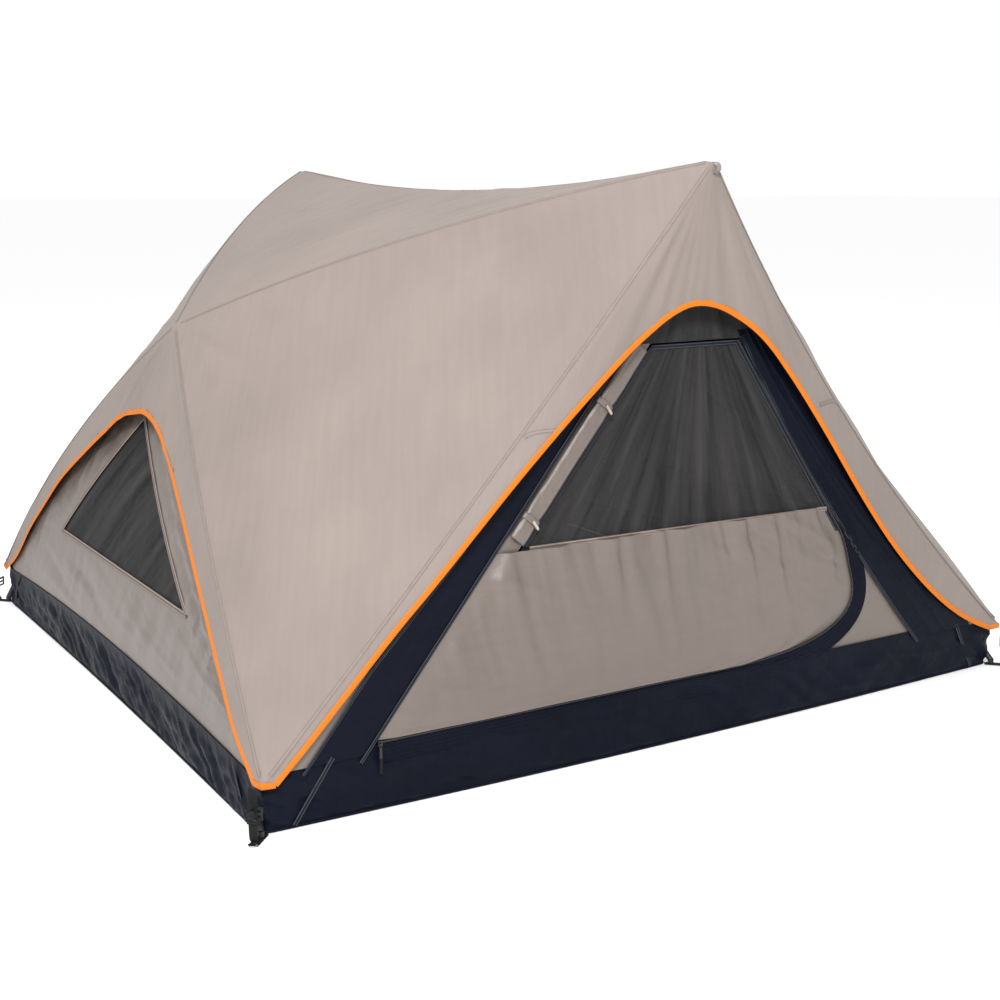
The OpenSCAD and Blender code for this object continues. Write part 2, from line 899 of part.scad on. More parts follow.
floor_sheet();
bathtub_front();
bathtub_back();
bathtub_left();
bathtub_right();
bathtub_corners();
front_band_left();
front_band_right();
front_hinge_strip();
front_corner_gore();
front_zip_facing();
front_top_mesh();
back_band_left();
back_band_right();
back_hinge_strip();
back_corner_gore();
back_zip_facing();
back_top_mesh();
front_door_panel();
front_door_mesh();
front_privacy_roll();
front_zip_slider();
back_door_panel();
back_door_mesh();
back_privacy_roll();
back_zip_slider();
roll_toggles();
side_wall_left();
side_window_left();
side_wall_right();
side_window_right();
inner_gores_front();
inner_gores_back();
inner_roof_left();
inner_roof_right();
fly_roof_left();
fly_roof_right();
fly_gore_front_left();
fly_gore_front_right();
fly_gore_back_left();
fly_gore_back_right();
fly_gable_front();
fly_gable_back();
fly_gusset_left();
fly_gusset_right();
gable_piping();
gusset_piping();
fly_straps();
ladder_buckles();
peak_tabs();
pole_legs();
pole_arms();
pole_ferrules();
shoulder_hubs();
crown_elbows();
foot_tips();
shock_cords();
hang_clips();
corner_anchors();
peg_eyelets();
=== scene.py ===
"""A-frame tent: cloth, mesh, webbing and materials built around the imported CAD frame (metres, +Z up)."""
import math

import bpy
import numpy as np
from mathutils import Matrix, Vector
from mathutils.bvhtree import BVHTree
from mathutils.kdtree import KDTree


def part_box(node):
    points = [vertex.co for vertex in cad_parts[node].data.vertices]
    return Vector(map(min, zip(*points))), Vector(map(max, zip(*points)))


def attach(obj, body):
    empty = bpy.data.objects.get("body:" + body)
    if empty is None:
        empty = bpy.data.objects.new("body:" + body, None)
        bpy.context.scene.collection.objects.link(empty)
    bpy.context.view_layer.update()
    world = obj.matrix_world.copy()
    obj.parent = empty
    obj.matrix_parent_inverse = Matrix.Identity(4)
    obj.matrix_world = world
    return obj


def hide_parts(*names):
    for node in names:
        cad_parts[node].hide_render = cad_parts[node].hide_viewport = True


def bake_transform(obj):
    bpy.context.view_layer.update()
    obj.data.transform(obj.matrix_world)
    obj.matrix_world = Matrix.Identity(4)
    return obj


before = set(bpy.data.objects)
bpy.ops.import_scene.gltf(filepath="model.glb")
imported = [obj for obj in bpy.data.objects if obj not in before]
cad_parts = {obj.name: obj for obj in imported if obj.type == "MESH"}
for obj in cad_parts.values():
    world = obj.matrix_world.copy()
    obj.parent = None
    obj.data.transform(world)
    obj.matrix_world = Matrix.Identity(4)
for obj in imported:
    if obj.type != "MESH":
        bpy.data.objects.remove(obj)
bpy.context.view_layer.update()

# ---------------------------------------------------------------- driving dimensions, in metres

HALF_W = 1.200
HALF_L = 1.170
CORNER = np.array([-HALF_W, -HALF_L - 0.002, 0.130])
PEAK = np.array([0.0, -HALF_L - 0.050, 1.500])
SHOULDER = np.array([-HALF_W + 0.254, 0.0, 1.050])
IN_PEAK = PEAK + [0.0, 0.078, -0.106]
IN_SHOULDER = SHOULDER + [0.046, 0.0, -0.100]
IN_CORNER = np.array([-HALF_W + 0.022, -HALF_L + 0.030, 0.118])
END_Y = -HALF_L + 0.008
SIDE_X = -HALF_W + 0.003
TUB_H = 0.150
TUB_SIDE = 2.33

RIDGE_SAG = 0.075
ARM_BOW = 0.046
LEG_BOW = 0.055

LEG_DIR = (-0.60, -0.44, 0.68)

ARCH_FOOT_Z = 0.126
SIDE_BULGE = 0.045
GABLE_PULL = 0.065
INNER_PULL = 0.050

DOOR_BASE = 0.170
DOOR_SEAM = 0.575
DOOR_TOP = 1.050
HINGE_BASE, HINGE_TOP = 0.915, 0.198
STRIP_W = 0.070
LOOP_AT = (0.062, 0.400)
WALL_LEAN = 0.01435


def v3(*c):
    return np.array(c, float)


def flip(p, sx=1, sy=1):
    return np.asarray(p, float) * [sx, sy, 1]


def unit(v):
    v = np.asarray(v, float)
    return v / np.maximum(np.linalg.norm(v, axis=-1, keepdims=True), 1e-12)


def smooth(t):
    t = np.clip(t, 0, 1)
    return t * t * (3 - 2 * t)


# ---------------------------------------------------------------- camera, floor and light

CAMERA_AT = (-2.366, -4.093, 1.430)
CAMERA_DOWN, CAMERA_TURN = 11.834, -31.445


def build_camera():
    cam = bpy.data.cameras.new("camera")
    cam.lens = 53.55
    cam.sensor_width = 36.0
    obj = bpy.data.objects.new("camera", cam)
    bpy.context.scene.collection.objects.link(obj)
    obj.location = CAMERA_AT
    obj.rotation_euler = (math.radians(90 - CAMERA_DOWN), 0, math.radians(CAMERA_TURN))
    bpy.context.scene.camera = obj


def area_light(name, loc, target, size, power):
    light = bpy.data.lights.new(name, "AREA")
    light.shape = "RECTANGLE"
    light.size, light.size_y = size
    light.energy = power
    obj = bpy.data.objects.new(name, light)
    bpy.context.scene.collection.objects.link(obj)
    obj.location = loc
    obj.rotation_euler = (Vector(target) - Vector(loc)).to_track_quat("-Z", "Y").to_euler()


def build_stage():
    bpy.ops.mesh.primitive_plane_add(size=400, location=(0, 0, -0.001))
    floor = bpy.context.object
    floor.name = "studio_floor"
    mat = bpy.data.materials.new("studio_floor")
    mat.use_nodes = True
    b = mat.node_tree.nodes["Principled BSDF"]
    b.inputs["Base Color"].default_value = (0.97, 0.97, 0.97, 1)
    b.inputs["Specular IOR Level"].default_value = 0.0
    b.inputs["Roughness"].default_value = 0.9
    floor.data.materials.append(mat)
    world = bpy.data.worlds.new("world")
    bpy.context.scene.world = world
    world.use_nodes = True
    bg = world.node_tree.nodes["Background"]
    bg.inputs["Color"].default_value = (1, 1, 1, 1)
    bg.inputs["Strength"].default_value = 1.0
    bpy.context.scene.view_settings.view_transform = "Standard"
    area_light("key", (-3.6, -5.2, 4.4), (-0.1, -0.5, 0.5), (1.1, 1.1), 470)
    area_light("top", (-0.5, 0.5, 6.5), (-0.2, 0, 0.6), (3.0, 3.0), 150)


# ---------------------------------------------------------------- node materials

class Nodes:
    """Small helper that adds and links shader nodes."""

    def __init__(self, name):
        self.mat = bpy.data.materials.new(name)
        self.mat.use_nodes = True
        self.tree = self.mat.node_tree
        self.bsdf = self.tree.nodes["Principled BSDF"]

    def add(self, kind, **values):
        node = self.tree.nodes.new(kind)
        for key, val in values.items():
            setattr(node, key, val)
        return node

    def link(self, a, b):
        self.tree.links.new(a, b)

    def coords(self, kind="Object", scale=(1, 1, 1)):
        tex = self.add("ShaderNodeTexCoord")
        mp = self.add("ShaderNodeMapping")
        mp.inputs["Scale"].default_value = scale
        self.link(tex.outputs[kind], mp.inputs["Vector"])
        return mp.outputs["Vector"]

    def noise(self, vec, scale, detail=3, rough=0.55):
        n = self.add("ShaderNodeTexNoise")
        n.inputs["Scale"].default_value = scale
        n.inputs["Detail"].default_value = detail
        n.inputs["Roughness"].default_value = rough
        self.link(vec, n.inputs["Vector"])
        return n.outputs["Fac"]

    def wave(self, vec, pitch, axis="X"):
        n = self.add("ShaderNodeTexWave", bands_direction=axis)
        n.inputs["Scale"].default_value = math.pi / 10 / pitch
        self.link(vec, n.inputs["Vector"])
        return n.outputs["Fac"]

    def ramp(self, fac, stops):
        n = self.add("ShaderNodeValToRGB")
        for element, (pos, col) in zip(n.color_ramp.elements, stops):
            element.position = pos
            element.color = (*col, 1)
        self.link(fac, n.inputs["Fac"])
        return n.outputs["Color"]

    def math(self, op, a, b=None, clamp=False):
        n = self.add("ShaderNodeMath", operation=op, use_clamp=clamp)
        for i, x in enumerate((a, b)):
            if x is None:
                continue
            if isinstance(x, (int, float)):
                n.inputs[i].default_value = x
            else:
                self.link(x, n.inputs[i])
        return n.outputs[0]

    def mix(self, fac, a, b):
        n = self.add("ShaderNodeMix", data_type="RGBA")
        for sock, x in ((0, fac), (6, a), (7, b)):
            if isinstance(x, (int, float)):
                n.inputs[sock].default_value = x
            elif isinstance(x, tuple):
                n.inputs[sock].default_value = (*x, 1)
            else:
                self.link(x, n.inputs[sock])
        return n.outputs[2]

    def bump(self, height, strength, distance, normal=None):
        n = self.add("ShaderNodeBump")
        n.inputs["Strength"].default_value = strength
        n.inputs["Distance"].default_value = distance
        self.link(height, n.inputs["Height"])
        if normal is not None:
            self.link(normal, n.inputs["Normal"])
        return n.outputs["Normal"]


def tint(c, k):
    return tuple(min(1.0, x * k) for x in c)


def cloth_material(name, color, rough, sheen, spec, crease, thread=0.0009, shade=0.10):
    """Woven polyester: plain weave at thread pitch, faint streaks along the yarn, soft creases."""
    n = Nodes(name)
    uv = n.coords("UV")
    obj = n.coords("Object")
    warp = n.wave(uv, thread, "X")
    weft = n.wave(uv, thread, "Y")
    weave = n.math("MAXIMUM", warp, weft)
    streak = n.noise(n.coords("UV", (60, 4, 1)), 1.0, 3)
    blotch = n.noise(obj, 2.2, 4)
    both = n.math("ADD", n.math("MULTIPLY", streak, 0.25), n.math("MULTIPLY", blotch, 0.75))
    base = n.ramp(both, [(0.32, tint(color, 1 - shade)), (0.68, tint(color, 1 + shade))])
    grain = n.mix(n.math("MULTIPLY", weave, 0.10), base, tint(color, 0.55))
    n.link(grain, n.bsdf.inputs["Base Color"])
    n.link(n.math("ADD", n.math("MULTIPLY", blotch, 0.16), rough - 0.08), n.bsdf.inputs["Roughness"])
    n.bsdf.inputs["Sheen Weight"].default_value = sheen
    n.bsdf.inputs["Sheen Roughness"].default_value = 0.45
    n.bsdf.inputs["Specular IOR Level"].default_value = spec
    creases = n.noise(obj, 26.0, 6, 0.62)
    nrm = n.bump(creases, crease, 0.004)
    nrm = n.bump(weave, 0.12, 0.0004, nrm)
    n.link(nrm, n.bsdf.inputs["Normal"])
    return n.mat


def mesh_material(name, filled=0.68):
    """Fine insect mesh: threads with holes between them, and faint upright streaks where folds would be, which
    add cover and carry painted light and shade.
    """
    n = Nodes(name)
    uv = n.coords("UV")
    pitch = 0.0022
    a = n.wave(uv, pitch, "X")
    b = n.wave(uv, pitch, "Y")
    thread = n.math("MAXIMUM", a, b)
    # upright streaks where folds would be: they add cover, as folded mesh does, and set painted light and shade
    # in the colour
    streak = n.noise(n.coords("UV", (1.2, 22, 1)), 1.0, 4, 0.6)
    cover = n.math("ADD", n.math("MULTIPLY", thread, 0.16), n.math("MULTIPLY", streak, 0.22))
    alpha = n.math("ADD", cover, filled, clamp=True)
    # the colour's lighter and darker upright bands are painted light and shade of the folds
    col = n.ramp(streak, [(0.30, (0.012, 0.012, 0.012)), (0.72, (0.042, 0.040, 0.040))])
    n.link(col, n.bsdf.inputs["Base Color"])
    n.link(alpha, n.bsdf.inputs["Alpha"])
    n.bsdf.inputs["Roughness"].default_value = 0.7
    n.bsdf.inputs["Specular IOR Level"].default_value = 0.05
    n.link(n.bump(thread, 0.3, 0.0006), n.bsdf.inputs["Normal"])
    return n.mat


def webbing_material(name, color, pitch=0.0016, rough=0.6):
    """Woven webbing: diagonal ribs along the strap."""
    n = Nodes(name)
    uv = n.coords("UV")
    rib = n.wave(uv, pitch, "DIAGONAL")
    fine = n.noise(uv, 900, 2)
    col = n.ramp(rib, [(0.2, tint(color, 0.7)), (0.8, tint(color, 1.25))])
    n.link(n.mix(n.math("MULTIPLY", fine, 0.2), col, tint(color, 0.5)), n.bsdf.inputs["Base Color"])
    n.bsdf.inputs["Roughness"].default_value = rough
    n.bsdf.inputs["Specular IOR Level"].default_value = 0.12
    n.link(n.bump(rib, 0.4, 0.0006), n.bsdf.inputs["Normal"])
    return n.mat


def plastic_material(name, color, rough=0.45):
    """Moulded nylon with a fine spark-eroded grain."""
    n = Nodes(name)
    obj = n.coords("Object")
    grain = n.noise(obj, 1400, 3)
    wear = n.noise(obj, 35, 4)
    n.link(n.ramp(wear, [(0.35, tint(color, 0.85)), (0.7, tint(color, 1.3))]), n.bsdf.inputs["Base Color"])
    n.link(n.math("ADD", n.math("MULTIPLY", wear, 0.2), rough - 0.1), n.bsdf.inputs["Roughness"])
    n.bsdf.inputs["Specular IOR Level"].default_value = 0.25
    n.link(n.bump(grain, 0.2, 0.0003), n.bsdf.inputs["Normal"])
    return n.mat


def pole_material(name):
    """Pultruded fibreglass: smooth dark resin with faint streaks along the tube."""
    n = Nodes(name)
    obj = n.coords("Object")
    streak = n.noise(obj, 180, 5)
    n.link(n.ramp(streak, [(0.3, (0.016, 0.016, 0.017)), (0.7, (0.045, 0.044, 0.043))]),
           n.bsdf.inputs["Base Color"])
    n.bsdf.inputs["Roughness"].default_value = 0.28
    n.bsdf.inputs["Coat Weight"].default_value = 0.3
    n.link(n.bump(streak, 0.08, 0.0004), n.bsdf.inputs["Normal"])
    return n.mat


def metal_material(name, color, rough=0.32):
    """Plated metal with fine brushing and dulled patches."""
    n = Nodes(name)
    obj = n.coords("Object", (1, 1, 12))
    brush = n.noise(obj, 700, 3)
    dull = n.noise(n.coords("Object"), 60, 4)
    n.link(n.ramp(dull, [(0.3, tint(color, 0.8)), (0.7, color)]), n.bsdf.inputs["Base Color"])
    n.bsdf.inputs["Metallic"].default_value = 1.0
    n.link(n.math("ADD", n.math("MULTIPLY", dull, 0.2), rough - 0.1), n.bsdf.inputs["Roughness"])
    n.link(n.bump(brush, 0.1, 0.0002), n.bsdf.inputs["Normal"])
    return n.mat


def stitch_material(name, cloth, thread_color, pitch=0.0045):
    """A seam allowance with a row of stitches near each long edge (UV: metres along, 0 to 1 across)."""
    n = Nodes(name)
    tex = n.add("ShaderNodeTexCoord")
    sep = n.add("ShaderNodeSeparateXYZ")
    n.link(tex.outputs["UV"], sep.inputs[0])
    dash = n.math("GREATER_THAN", n.math("FRACT", n.math("DIVIDE", sep.outputs[0], pitch)), 0.35)
    across = sep.outputs[1]
    row_a = n.math("LESS_THAN", n.math("ABSOLUTE", n.math("SUBTRACT", across, 0.2)), 0.07)
    row_b = n.math("LESS_THAN", n.math("ABSOLUTE", n.math("SUBTRACT", across, 0.8)), 0.07)
    rows = n.math("MULTIPLY", n.math("MAXIMUM", row_a, row_b), dash)
    blotch = n.noise(n.coords("Object"), 40, 3)
    base = n.ramp(blotch, [(0.3, tint(cloth, 0.90)), (0.7, tint(cloth, 1.02))])
    n.link(n.mix(rows, base, thread_color), n.bsdf.inputs["Base Color"])
    n.bsdf.inputs["Roughness"].default_value = 0.7
    n.bsdf.inputs["Specular IOR Level"].default_value = 0.15
    n.link(n.bump(rows, 0.6, 0.0008), n.bsdf.inputs["Normal"])
    return n.mat


FLY = (0.205, 0.171, 0.153)
INNER = (0.126, 0.102, 0.088)
NAVY = (0.0052, 0.0064, 0.0120)
ORANGE = (0.56, 0.150, 0.012)
BLACK = (0.008, 0.008, 0.009)

MAT = {}


def build_materials():
    MAT["fly"] = cloth_material("fly_cloth", FLY, 0.72, 0.05, 0.20, 0.30)
    MAT["inner"] = cloth_material("inner_cloth", INNER, 0.42, 0.0, 0.45, 0.50)
    MAT["navy"] = cloth_material("navy_cloth", NAVY, 0.38, 0.0, 0.035, 1.0, 0.0011, 0.25)
    MAT["mesh"] = mesh_material("insect_mesh")
    MAT["window"] = mesh_material("window_mesh", 0.80)
    MAT["piping"] = webbing_material("orange_binding", ORANGE, 0.0013, 0.55)
    MAT["webbing"] = webbing_material("black_webbing", BLACK)
    MAT["plastic"] = plastic_material("moulded_black", (0.016, 0.016, 0.017))
    MAT["toggle"] = plastic_material("moulded_taupe", (0.30, 0.26, 0.22))
    MAT["pole"] = pole_material("fibreglass")
    MAT["steel"] = metal_material("plated_steel", (0.66, 0.66, 0.67))
    MAT["zip"] = metal_material("black_zinc", (0.05, 0.05, 0.052), 0.4)
    MAT["fly_seam"] = stitch_material("fly_seam", FLY, tint(FLY, 0.55))
    MAT["inner_seam"] = stitch_material("inner_seam", tint(INNER, 0.9), tint(INNER, 3.0))
    MAT["navy_seam"] = stitch_material("navy_seam", NAVY, (0.075, 0.078, 0.085))


# ---------------------------------------------------------------- mesh helpers

def new_mesh(name, verts, faces, uvs, mat):
    """A mesh object from vertices, faces and one UV per vertex."""
    me = bpy.data.meshes.new(name)
    me.from_pydata([tuple(v) for v in verts], [], [tuple(f) for f in faces])
    layer = me.uv_layers.new(name="uv")
    loops = np.empty(len(me.loops), dtype=np.int32)
    me.loops.foreach_get("vertex_index", loops)
    layer.data.foreach_set("uv", np.asarray(uvs, float)[loops].ravel())
    me.polygons.foreach_set("use_smooth", [True] * len(me.polygons))
    me.materials.append(mat)
    me.update()
    obj = bpy.data.objects.new(name, me)
    bpy.context.scene.collection.objects.link(obj)
    return obj


class Patches:
    """Collects grids and triangles of points into one mesh and welds their shared edges."""

    def __init__(self):
        self.v, self.f, self.uv = [], [], []

    def grid(self, pts, uv=None, flip_faces=False):
        nu, nv = pts.shape[:2]
        base = sum(len(x) for x in self.v)
        idx = base + np.arange(nu * nv).reshape(nu, nv)
        q = np.stack([idx[:-1, :-1], idx[1:, :-1], idx[1:, 1:], idx[:-1, 1:]], -1).reshape(-1, 4)
        if flip_faces:
            q = q[:, ::-1]
        self.v.append(pts.reshape(-1, 3))
        self.f += [tuple(r) for r in q]
        if uv is None:
            uv = grid_uv(pts)
        self.uv.append(np.asarray(uv).reshape(-1, 2))

    def triangle(self, pts, n, flip_faces=False):
        base = sum(len(x) for x in self.v)
        row = lambda i: base + i * (i + 1) // 2
        for i in range(n):
            for j in range(i + 1):
                a, b, c = row(i) + j, row(i + 1) + j, row(i + 1) + j + 1
                self.f.append((a, c, b) if flip_faces else (a, b, c))
                if j < i:
                    d = row(i) + j + 1
                    self.f.append((a, d, c) if flip_faces else (a, c, d))
        self.v.append(pts)
        e1 = unit(pts[-1] - pts[row(n) - base])
        nrm = unit(np.cross(e1, pts[0] - pts[-1]))
        e2 = np.cross(nrm, e1)
        self.uv.append(np.stack([(pts - pts[0]) @ e1, (pts - pts[0]) @ e2], -1))

    def arrays(self, weld=2e-4):
        v = np.concatenate(self.v)
        uv = np.concatenate(self.uv)
        key = np.round(v / weld).astype(np.int64)
        _, first, back = np.unique(key, axis=0, return_index=True, return_inverse=True)
        back = back.ravel()
        faces = []
        for f in self.f:
            g = [int(back[i]) for i in f]
            g = [x for k, x in enumerate(g) if x != g[k - 1]]
            if len(g) >= 3:
                faces.append(tuple(g))
        return v[first], faces, uv[first]


def grid_uv(pts):
    """Distances along a grid's rows and columns, in metres."""
    du = np.linalg.norm(np.diff(pts, axis=0), axis=2).mean(1)
    dv = np.linalg.norm(np.diff(pts, axis=1), axis=2).mean(0)
    u = np.concatenate([[0], np.cumsum(du)])
    v = np.concatenate([[0], np.cumsum(dv)])
    return np.stack(np.meshgrid(u, v, indexing="ij"), -1)


def relax(v, faces, weight, steps):
    """Laplacian smoothing, with a weight from 0 to 1 at each vertex."""
    e = set()
    for f in faces:
        for i in range(len(f)):
            a, b = f[i - 1], f[i]
            e.add((min(a, b), max(a, b)))
    e = np.array(sorted(e))
    count = np.zeros(len(v))
    np.add.at(count, e[:, 0], 1)
    np.add.at(count, e[:, 1], 1)
    w = np.asarray(weight)[:, None] * 0.5
    for _ in range(steps):
        s = np.zeros_like(v)
        np.add.at(s, e[:, 0], v[e[:, 1]])
        np.add.at(s, e[:, 1], v[e[:, 0]])
        v = v + w * (s / count[:, None] - v)
    return v


def perlin(x, y, seed=0):
    """Smooth gradient noise, about -1 to 1."""
    draw = np.random.default_rng(seed)
    table = draw.permutation(512)
    angle = draw.uniform(0, 2 * math.pi, 512)
    x, y = np.broadcast_arrays(np.asarray(x, float), np.asarray(y, float))
    xi, yi = np.floor(x).astype(int), np.floor(y).astype(int)
    xf, yf = x - xi, y - yi

    def corner(dx, dy):
        a = angle[(table[(xi + dx) & 511] + yi + dy) & 511]
        return np.cos(a) * (xf - dx) + np.sin(a) * (yf - dy)

    sx = xf ** 3 * (xf * (xf * 6 - 15) + 10)
    sy = yf ** 3 * (yf * (yf * 6 - 15) + 10)
    low = corner(0, 0) * (1 - sx) + corner(1, 0) * sx
    high = corner(0, 1) * (1 - sx) + corner(1, 1) * sx
    return 1.5 * (low * (1 - sy) + high * sy)


def folds(u, v, wide, long, seed=0):
    """Folds about wide apart across u, that run for about long along v; crests sharper than valleys."""
    u = u + 0.35 * wide * perlin(u / wide / 2.5, v / long * 1.7, seed + 1)
    soft = perlin(u / wide, v / long, seed + 2)
    ridge = 0.45 - np.abs(perlin(u / wide / 1.4, v / long / 1.2, seed + 3))
    fine = perlin(u / wide * 2.3, v / long * 1.8, seed + 4)
    return 0.55 * soft + 0.7 * ridge + 0.22 * fine


def distance_along(p):
    """Distance of each point of a polyline from its start."""
    return np.concatenate([[0], np.cumsum(np.linalg.norm(np.diff(p, axis=0), axis=1))])


def smoothed(p, times):
    """A polyline with its inner points drawn towards their neighbours."""
    for _ in range(times):
        p[1:-1] = (p[:-2] + p[1:-1] * 2 + p[2:]) / 4
    return p


def resample(path, n):
    """n points evenly spaced along a polyline."""
    p = np.asarray(path, float)
    d = distance_along(p)
    t = np.linspace(0, d[-1], n)
    return np.stack([np.interp(t, d, p[:, k]) for k in range(p.shape[1])], -1)


def ribbon(store, path, normals, width, lift, arch):
    """A tape along a path: width across, lift above the surface whose normals are given, arched in its middle."""
    p = np.asarray(path)
    tang = unit(np.gradient(p, axis=0))
    side = unit(np.cross(normals, tang))
    across = np.array([-0.5, -0.25, 0, 0.25, 0.5])
    rise = arch * (1 - (2 * across) ** 2)
    pts = p[:, None] + side[:, None] * (across * width)[None, :, None] \
        + normals[:, None] * (lift + rise)[None, :, None]
    d = distance_along(p)
    store.grid(pts, np.stack(np.meshgrid(d, across + 0.5, indexing="ij"), -1))


def tube(path, normals, wide, thick, sides=12, closed=False):
    """A tape with a rounded section along a path; returns its grid and UVs."""
    p = np.asarray(path)
    if closed:
        p = np.concatenate([p[-1:], p, p[:1]])
        normals = np.concatenate([normals[-1:], normals, normals[:1]])
    tang = unit(np.gradient(p, axis=0))
    side = unit(np.cross(normals, tang))
    up = unit(np.cross(tang, side))
    if closed:
        p, side, up = p[1:-1], side[1:-1], up[1:-1]
    a = np.linspace(0, 2 * math.pi, sides + 1)
    pts = p[:, None] + side[:, None] * (np.cos(a) * wide)[None, :, None] \
        + up[:, None] * (np.sin(a) * thick)[None, :, None]
    d = distance_along(p)
    uv = np.stack(np.meshgrid(d, a / (2 * math.pi) * 2 * (wide + thick), indexing="ij"), -1)
    if closed:
        pts = np.concatenate([pts, pts[:1]])
        uv = np.concatenate([uv, uv[-1:] + [0.01, 0]])
    return pts, uv


def cubic(p0, p1, p2, p3, n):
    """n points of a Bezier curve."""
    t = np.linspace(0, 1, n)[:, None]
    p0, p1, p2, p3 = (np.asarray(p, float) for p in (p0, p1, p2, p3))
    return p0 * (1 - t) ** 3 + 3 * p1 * t * (1 - t) ** 2 + 3 * p2 * t * t * (1 - t) + p3 * t ** 3


def place(obj, body="tent", nodes=()):
    """Rides on a body and stands for CAD nodes, which it hides."""
    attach(obj, body)
    if nodes:
        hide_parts(*nodes)
    return obj


def sewn(store, name, mat, body="tent", nodes=(), weld=1e-7):
    """The collected patches as one placed piece."""
    v, f, uv = store.arrays(weld)
    return place(new_mesh(name, v, f, uv, MAT[mat]), body, nodes)


# ---------------------------------------------------------------- fly

FLY_N = 128
GABLE_ROWS = 26
GUSSET_ROWS = 20


def bow(direction, depth):
    """Offset along a seam that is zero at its ends and depth at its middle."""
    d = unit(direction) * depth
    return lambda t: (4 * t * (1 - t))[:, None] * d


def panel_triangle(a, b, c, n, ab, bc, ca, wrinkle):
    """Triangle of cloth whose three seams bow, with wrinkles(weights, points) in metres along its normal."""
    i, j = np.tril_indices(n + 1)
    w = np.stack([1 - i / n, (i - j) / n, j / n], -1)
    p = w @ np.stack([a, b, c])
    for k, off in enumerate((ab, bc, ca)):
        s = w[:, k] + w[:, (k + 1) % 3]
        t = w[:, (k + 1) % 3] / np.maximum(s, 1e-9)
        p = p + (s ** 2)[:, None] * off(t)
    nrm = unit(np.cross(b - a, c - a))
    return p + nrm * wrinkle(w, p)[:, None]


def seam_points(a, b, n, off):
    t = np.linspace(0, 1, n + 1)
    return a + (b - a) * t[:, None] + off(t)


def fly_corners(sx, sy):
    return flip(CORNER, sx, sy), flip(PEAK, 1, sy), flip(SHOULDER, sx, 1)


def seam_offsets(sx, sy):
    """How each seam of one quarter bows: ridge, arm, leg and gable seam."""
    arm = v3(-sx * 0.55, -sy * 0.15, 0.82)
    leg = flip(LEG_DIR, sx, sy)
    gable = v3(sx * 0.70, sy * 0.70, -0.15)
    return bow(v3(0, 0, -1), RIDGE_SAG), bow(arm, ARM_BOW), bow(leg, LEG_BOW), bow(gable, GABLE_PULL)


def edge_mask(w, soft):
    """0 on a panel's seams, rising to 1 a share soft inside them."""
    return smooth(w.min(1) / soft)


def roof_wrinkle(sx, seed):
    s = flip(SHOULDER, sx, 1)

    def f(w, p):
        d = p - s
        r = np.hypot(d[:, 1], np.hypot(d[:, 0], d[:, 2]))
        ang = np.arctan2(d[:, 1], np.hypot(d[:, 0], d[:, 2]))
        lines = folds(ang, r, 0.085, 0.9, seed) * smooth(r / 0.6)
        fine = folds(ang, r, 0.036, 0.6, seed + 20) * smooth(r / 0.8)
        broad = perlin(p[:, 1] * 1.6, p[:, 0] * 2.2, seed + 40)
        return edge_mask(w, 0.10) * (0.0100 * lines + 0.0050 * fine + 0.014 * broad)

    return f


def gore_wrinkle(sx, sy, seed):
    c, f, s = fly_corners(sx, sy)
    along = unit(c - f)
    across = unit(np.cross(np.cross(along, s - f), along))

    def g(w, p):
        u, v = (p - f) @ across, (p - f) @ along
        from_peak = np.arctan2(u, v)
        r = np.hypot(u, v)
        fan = folds(from_peak, r, 0.075, 1.3, seed) * smooth(r / 0.5) * smooth(1.35 - r)
        ds = p - s
        rs = np.linalg.norm(ds, axis=1)
        angle = np.arctan2(ds @ along, ds @ -across)
        near_s = folds(angle, rs, 0.22, 0.5, seed + 9) * smooth(rs / 0.15) * smooth((0.75 - rs) / 0.6)
        broad = perlin(u * 2.1, v * 1.3, seed + 17) + 0.5 * perlin(u * 4.7, v * 3.1, seed + 18)
        drape = folds(u + 0.25 * v, v, 0.16, 1.4, seed + 30)
        return edge_mask(w, 0.08) * (0.0080 * fan + 0.0090 * near_s + 0.018 * broad + 0.0030 * drape)

    return g


def front_edge(plain):
    """Lower edge of the fly over a door, from the left corner to the right, as (x, z)."""
    if plain:
        half = cubic((-1.166, ARCH_FOOT_Z), (-0.508, 0.798), (-0.173, 1.155), (0, 1.155), 160)
        return np.concatenate([half, half[-2::-1] * [-1, 1]])
    left = cubic((-1.166, ARCH_FOOT_Z), (-0.508, 0.798), (-0.173, 1.155), (-0.030, 1.155), 160)
    right = cubic((-0.030, 1.155), (0.322, 1.155), (0.628, 0.317), (1.166, ARCH_FOOT_Z), 160)
    return np.concatenate([left, right[1:]])


def spline(points, n):
    """Smooth curve through points, n to a span."""
    p = np.asarray(points, float)
    p = np.concatenate([[2 * p[0] - p[1]], p, [2 * p[-1] - p[-2]]])
    t = np.linspace(0, 1, n, endpoint=False)[:, None]
    out = []
    for a, b, c, d in zip(p, p[1:], p[2:], p[3:]):
        out.append(0.5 * (2 * b + (c - a) * t + (2 * a - 5 * b + 4 * c - d) * t ** 2
                          + (3 * b - a - 3 * c + d) * t ** 3))
    return np.concatenate(out + [p[-2:-1]])


def side_edge():
    """Lower edge of the fly over a side window, from the front corner to the back, as (y, z)."""
    half = spline([(-1.132, ARCH_FOOT_Z), (-0.980, 0.218), (-0.787, 0.382), (-0.690, 0.458), (-0.570, 0.545),
                   (-0.430, 0.634), (-0.270, 0.728), (-0.150, 0.785), (0, 0.812)], 20)
    return np.concatenate([half, half[-2::-1] * [-1, 1]])


def gable_y(z):
    """Distance out of the fly's end plane."""
    lean = (PEAK[1] - CORNER[1]) / (PEAK[2] - CORNER[2])
    return CORNER[1] + lean * (z - CORNER[2])


def gusset_x(z):
    """Distance out of the fly's side, which bows out a little between the corners and the shoulder."""
    lean = (SHOULDER[0] - CORNER[0]) / (SHOULDER[2] - CORNER[2])
    bulge = SIDE_BULGE * np.sin(math.pi * np.clip((z - 0.13) / 0.92, 0, 1))
    return CORNER[0] + lean * (z - CORNER[2]) - bulge


